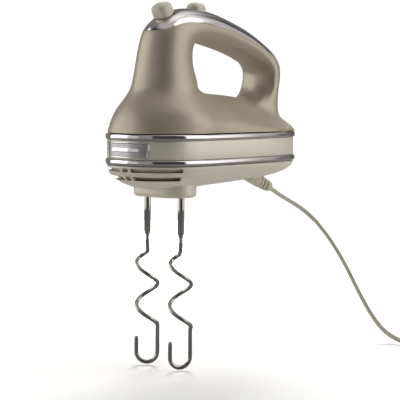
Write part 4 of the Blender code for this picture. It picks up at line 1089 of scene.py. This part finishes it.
def build_tie():
    """Black tie band round the coil's turns with a small buckle."""
    half_wide, high = RING_WIDE_HALF + 0.3, 2 * CORD_THICK + 1.7
    bm = bmesh.new()
    shape, inner = ([(RING_R + u, FLOOR_Z + high / 2 + v)
                     for u, v in squircle(half_wide + wider, high / 2 + higher, 5, 40)]
                    for wider, higher in ((0.4, 0.35), (-0.3, -0.3)))
    bridge(bm, [[(u, across, v) for u, v in each] for each, across in
                ((shape, -2.5), (inner, -2.5), (inner, 2.5), (shape, 2.5))], closed=True)
    buckle = bmesh.new()
    bridge(buckle, [[(RING_R + u * s, v * s, FLOOR_Z + high + z) for u, v in squircle(3, 3.4, 5, 24)]
                    for s, z in ((1, 0.2), (1, 1.2), (0.85, 1.6))])
    add(bm, buckle)
    turn = Matrix.Rotation(math.radians(-150), 3, "Z")
    bmesh.ops.rotate(bm, verts=bm.verts, cent=(0, 0, 0), matrix=turn)
    bmesh.ops.translate(bm, verts=bm.verts, vec=(*RING_CENTRE, 0))
    return piece("coil_tie_band", bm, ROOT, "carbon", ["coil_tie"])


def build_plug(middle):
    """Flat two-pin plug: soft-edged body with a ribbed neck, sleeved pins with nickel tips."""
    levels = [(3.5, 3.5, 10, 2), (3.9, 3.9, 9.2, 2), (4.1, 4.1, 6.6, 2), (3.5, 3.5, 6.2, 2),
              (3.5, 3.5, 5.2, 2), (4.4, 4.4, 4.8, 2.1), (4.6, 4.5, 2.2, 2.2), (4.9, 4.7, 0.5, 2.3),
              (7, 5.6, -2.5, 2.5), (11, 6.3, -7, 2.8), (15.2, 6.7, -12, 3.2),
              (17.2, 6.85, -17, 3.6), (17.6, 6.85, -24, 4), (17.6, 6.85, -32.6, 4),
              (17.2, 6.5, -34.2, 4), (16.2, 5.6, -35, 4)]
    bm = bmesh.new()
    bridge(bm, [[(PLUG_X + x, PLUG_BACK_Y + back, middle + z)
                 for x, z in squircle(half_x, half_z, power)]
                for half_x, half_z, back, power in levels])
    body = piece("plug_body_fine", bm, ROOT, "cream_plastic", ["plug_body"], 40, [FLEX])
    face = PLUG_BACK_Y - PLUG_LENGTH
    pins = []
    for side, sign in (("left", 1), ("right", -1)):
        bm = bmesh.new()
        profile = [(0, -0.1), (1.95, -0.1), (1.95, -9.8), (2, -10), (2, -17.4), (1.7, -18.3),
                   (1, -18.85), (0, -19)]
        turned(bm, profile[::-1], 28, (PLUG_X + sign * PIN_SPACING / 2, face, middle),
               Matrix.Rotation(-math.pi / 2, 4, "X"))
        for f in bm.faces:
            f.material_index = int(f.calc_center_median().y < face - 9.9)
        pins.append(piece(f"plug_pin_{side}_fine", bm, ROOT, "steel", [f"plug_pin_{side}"],
                          mats=[MATERIALS["carbon"], WIRE]))
    return [body, *pins]


# ---- CAD nodes that stay

def paint_cad_nodes():
    """Give every CAD node that shows its own fine material."""
    special = {"commutator": commutator_bars(), "left_spindle": WIRE, "right_spindle": WIRE,
               "motor_stator": turned_steel("stator_laminations", (0.32, 0.32, 0.33), "Y")}
    for row in frame["record"]["subparts"]:
        node = frame["nodes"][row["node"]]
        mat = special.get(row["node"], MATERIALS[row["material_slot"]])
        if not node.material_slots:
            node.data.materials.append(mat)
        for place in node.material_slots:
            place.link = "OBJECT"
            place.material = mat


# ---- floor and light

# Brightness of the surroundings: (middle azimuth from the camera, half width, middle elevation,
# half height, softness, brightness), all angles in degrees
CARDS = [
    (-99.5, 24.5, 6, 34, 6, 1.6),
    (-62, 13, 6, 30, 8, 0.55),
    (-32, 17, 6, 30, 8, 0.24),
    (80, 22, 6, 24, 8, 1.2),
    (88, 24, 46, 22, 14, 1.15),
    (112, 14, 32, 24, 8, 0.42),
    (104, 8, 0, 12, 8, 0.25),
    (116, 20, 0, 14, 8, 0.12),
    (146, 30, 62, 20, 30, 0.62),
    (-143, 36, 8, 48, 10, 0.16),
    (160, 20, 8, 48, 10, 0.12),
]
TOP_LIGHT = (50, 22, 0.42)        # elevation where it begins, softness, brightness
DARKNESS = 0.045


def maths(tree, operation, *inputs):
    """A maths node fed with numbers or sockets."""
    made = tree.nodes.new("ShaderNodeMath")
    made.operation = operation
    for i, value in enumerate(inputs):
        if isinstance(value, (int, float)):
            made.inputs[i].default_value = value
        else:
            tree.links.new(value, made.inputs[i])
    return made.outputs[0]


def fade(tree, value, start, end):
    """Smooth 0 to 1 between two values."""
    made = tree.nodes.new("ShaderNodeMapRange")
    made.interpolation_type = "SMOOTHSTEP"
    made.inputs["From Min"].default_value = start
    made.inputs["From Max"].default_value = end
    tree.links.new(value, made.inputs["Value"])
    return made.outputs["Result"]


def build_world():
    """White beyond the floor; light and reflections see a dark studio with cards and a top light."""
    world = bpy.data.worlds.new("studio")
    bpy.context.scene.world = world
    world.use_nodes = True
    tree = world.node_tree
    tree.nodes.clear()
    new, link = tree.nodes.new, tree.links.new
    place = new("ShaderNodeTexCoord").outputs["Generated"]
    turn = new("ShaderNodeMapping")
    turn.vector_type = "POINT"
    turn.inputs["Rotation"].default_value = (0, 0, math.radians(90 - CAMERA_AZIMUTH))
    link(place, turn.inputs["Vector"])
    parts = new("ShaderNodeSeparateXYZ")
    link(turn.outputs["Vector"], parts.inputs[0])
    x, y, z = parts.outputs
    azimuth = maths(tree, "MULTIPLY", maths(tree, "ARCTAN2", y, x), 180 / math.pi)
    elevation = maths(tree, "MULTIPLY", maths(tree, "ARCSINE", z), 180 / math.pi)
    total = DARKNESS
    for middle, half, height, tall, soft, bright in CARDS:
        aside = maths(tree, "ABSOLUTE", maths(tree, "SUBTRACT", azimuth, middle))
        above = maths(tree, "ABSOLUTE", maths(tree, "SUBTRACT", elevation, height))
        wide = fade(tree, aside, half + soft / 2, half - soft / 2)
        high = fade(tree, above, tall + soft / 2, tall - soft / 2)
        shape = maths(tree, "MULTIPLY", wide, high)
        total = maths(tree, "MULTIPLY_ADD", shape, bright, total)
    start, soft, bright = TOP_LIGHT
    top = fade(tree, elevation, start, start + soft)
    total = maths(tree, "MULTIPLY_ADD", top, bright, total)
    studio, white = (new("ShaderNodeBackground") for _ in range(2))
    studio.inputs["Color"].default_value = (1, 0.985, 0.965, 1)
    link(total, studio.inputs["Strength"])
    white.inputs["Color"].default_value = (1, 1, 1, 1)
    white.inputs["Strength"].default_value = 1.05
    mix = new("ShaderNodeMixShader")
    rays = new("ShaderNodeLightPath")
    out = new("ShaderNodeOutputWorld")
    link(rays.outputs["Is Camera Ray"], mix.inputs["Fac"])
    link(studio.outputs[0], mix.inputs[1])
    link(white.outputs[0], mix.inputs[2])
    link(mix.outputs[0], out.inputs["Surface"])


FLOOR_GLOW, FLOOR_FAR_GLOW = 0.2, 1
FLOOR_FADE = (0.22, 0.6)              # distances from the mixer in metres


def build_floor():
    """A wide white table top."""
    bm = bmesh.new()
    bmesh.ops.create_circle(bm, cap_ends=True, segments=96, radius=1.35)
    mesh = bpy.data.meshes.new("floor")
    bm.to_mesh(mesh)
    bm.free()
    floor = linked("floor", mesh)
    floor.location = (0, 0, metres((0, 0, FLOOR_Z - 0.15)).z)
    s = Shader("white_table", (0.72, 0.71, 0.69), 0.6)
    s.tint(s.noise(6), 0.99, 1)
    rays = s.node("ShaderNodeLightPath")
    away = s.node("ShaderNodeVectorMath", operation="LENGTH")
    s.join(s.place, away.inputs[0])
    spread = fade(s.tree, away.outputs["Value"], *FLOOR_FADE)
    glow = maths(s.tree, "MULTIPLY_ADD", spread, FLOOR_FAR_GLOW - FLOOR_GLOW, FLOOR_GLOW)
    seen = maths(s.tree, "MULTIPLY", glow, rays.outputs["Is Camera Ray"])
    s.join(seen, s.main.inputs["Emission Strength"])
    s.set("Emission Color", (1, 1, 1, 1))
    dark = s.node("ShaderNodeBsdfDiffuse")
    dark.inputs["Color"].default_value = (0.16, 0.155, 0.15, 1)
    mix = s.node("ShaderNodeMixShader")
    s.join(rays.outputs["Is Glossy Ray"], mix.inputs["Fac"])
    s.join(s.main.outputs[0], mix.inputs[1])
    s.join(dark.outputs[0], mix.inputs[2])
    s.join(mix.outputs[0], s.tree.nodes["Material Output"].inputs["Surface"])
    mesh.materials.append(s.mat)


def area_light(name, place, aim, size, power):
    """A soft square lamp that reflections do not see."""
    data = bpy.data.lights.new(name, "AREA")
    data.size = size
    data.energy = power
    lamp = linked(name, data)
    lamp.location = place
    lamp.rotation_euler = (Vector(aim) - Vector(place)).to_track_quat("-Z", "Y").to_euler()
    lamp.visible_glossy = False


def build_light():
    """Soft overhead lamp, a lamp high behind that throws the shadow forwards, and a side lamp."""
    area_light("overhead", (0.1, 0.2, 1.3), (0, 0, -0.2), 0.9, 5)
    area_light("behind", (-0.7, 1.03, 1.05), (0, 0, -0.2), 0.7, 34)
    area_light("side", (1.15, 1.1, 0.25), (0, 0, 0), 0.7, 6)


# ---- make everything

build_camera()
build_cord()
paint_cad_nodes()
build_trim()
build_badge()
build_upper_housing()
build_controls()
build_lower_housing()
build_screws()
build_hooks()
build_world()
build_floor()
build_light()
bpy.context.scene.view_settings.view_transform = "Standard"
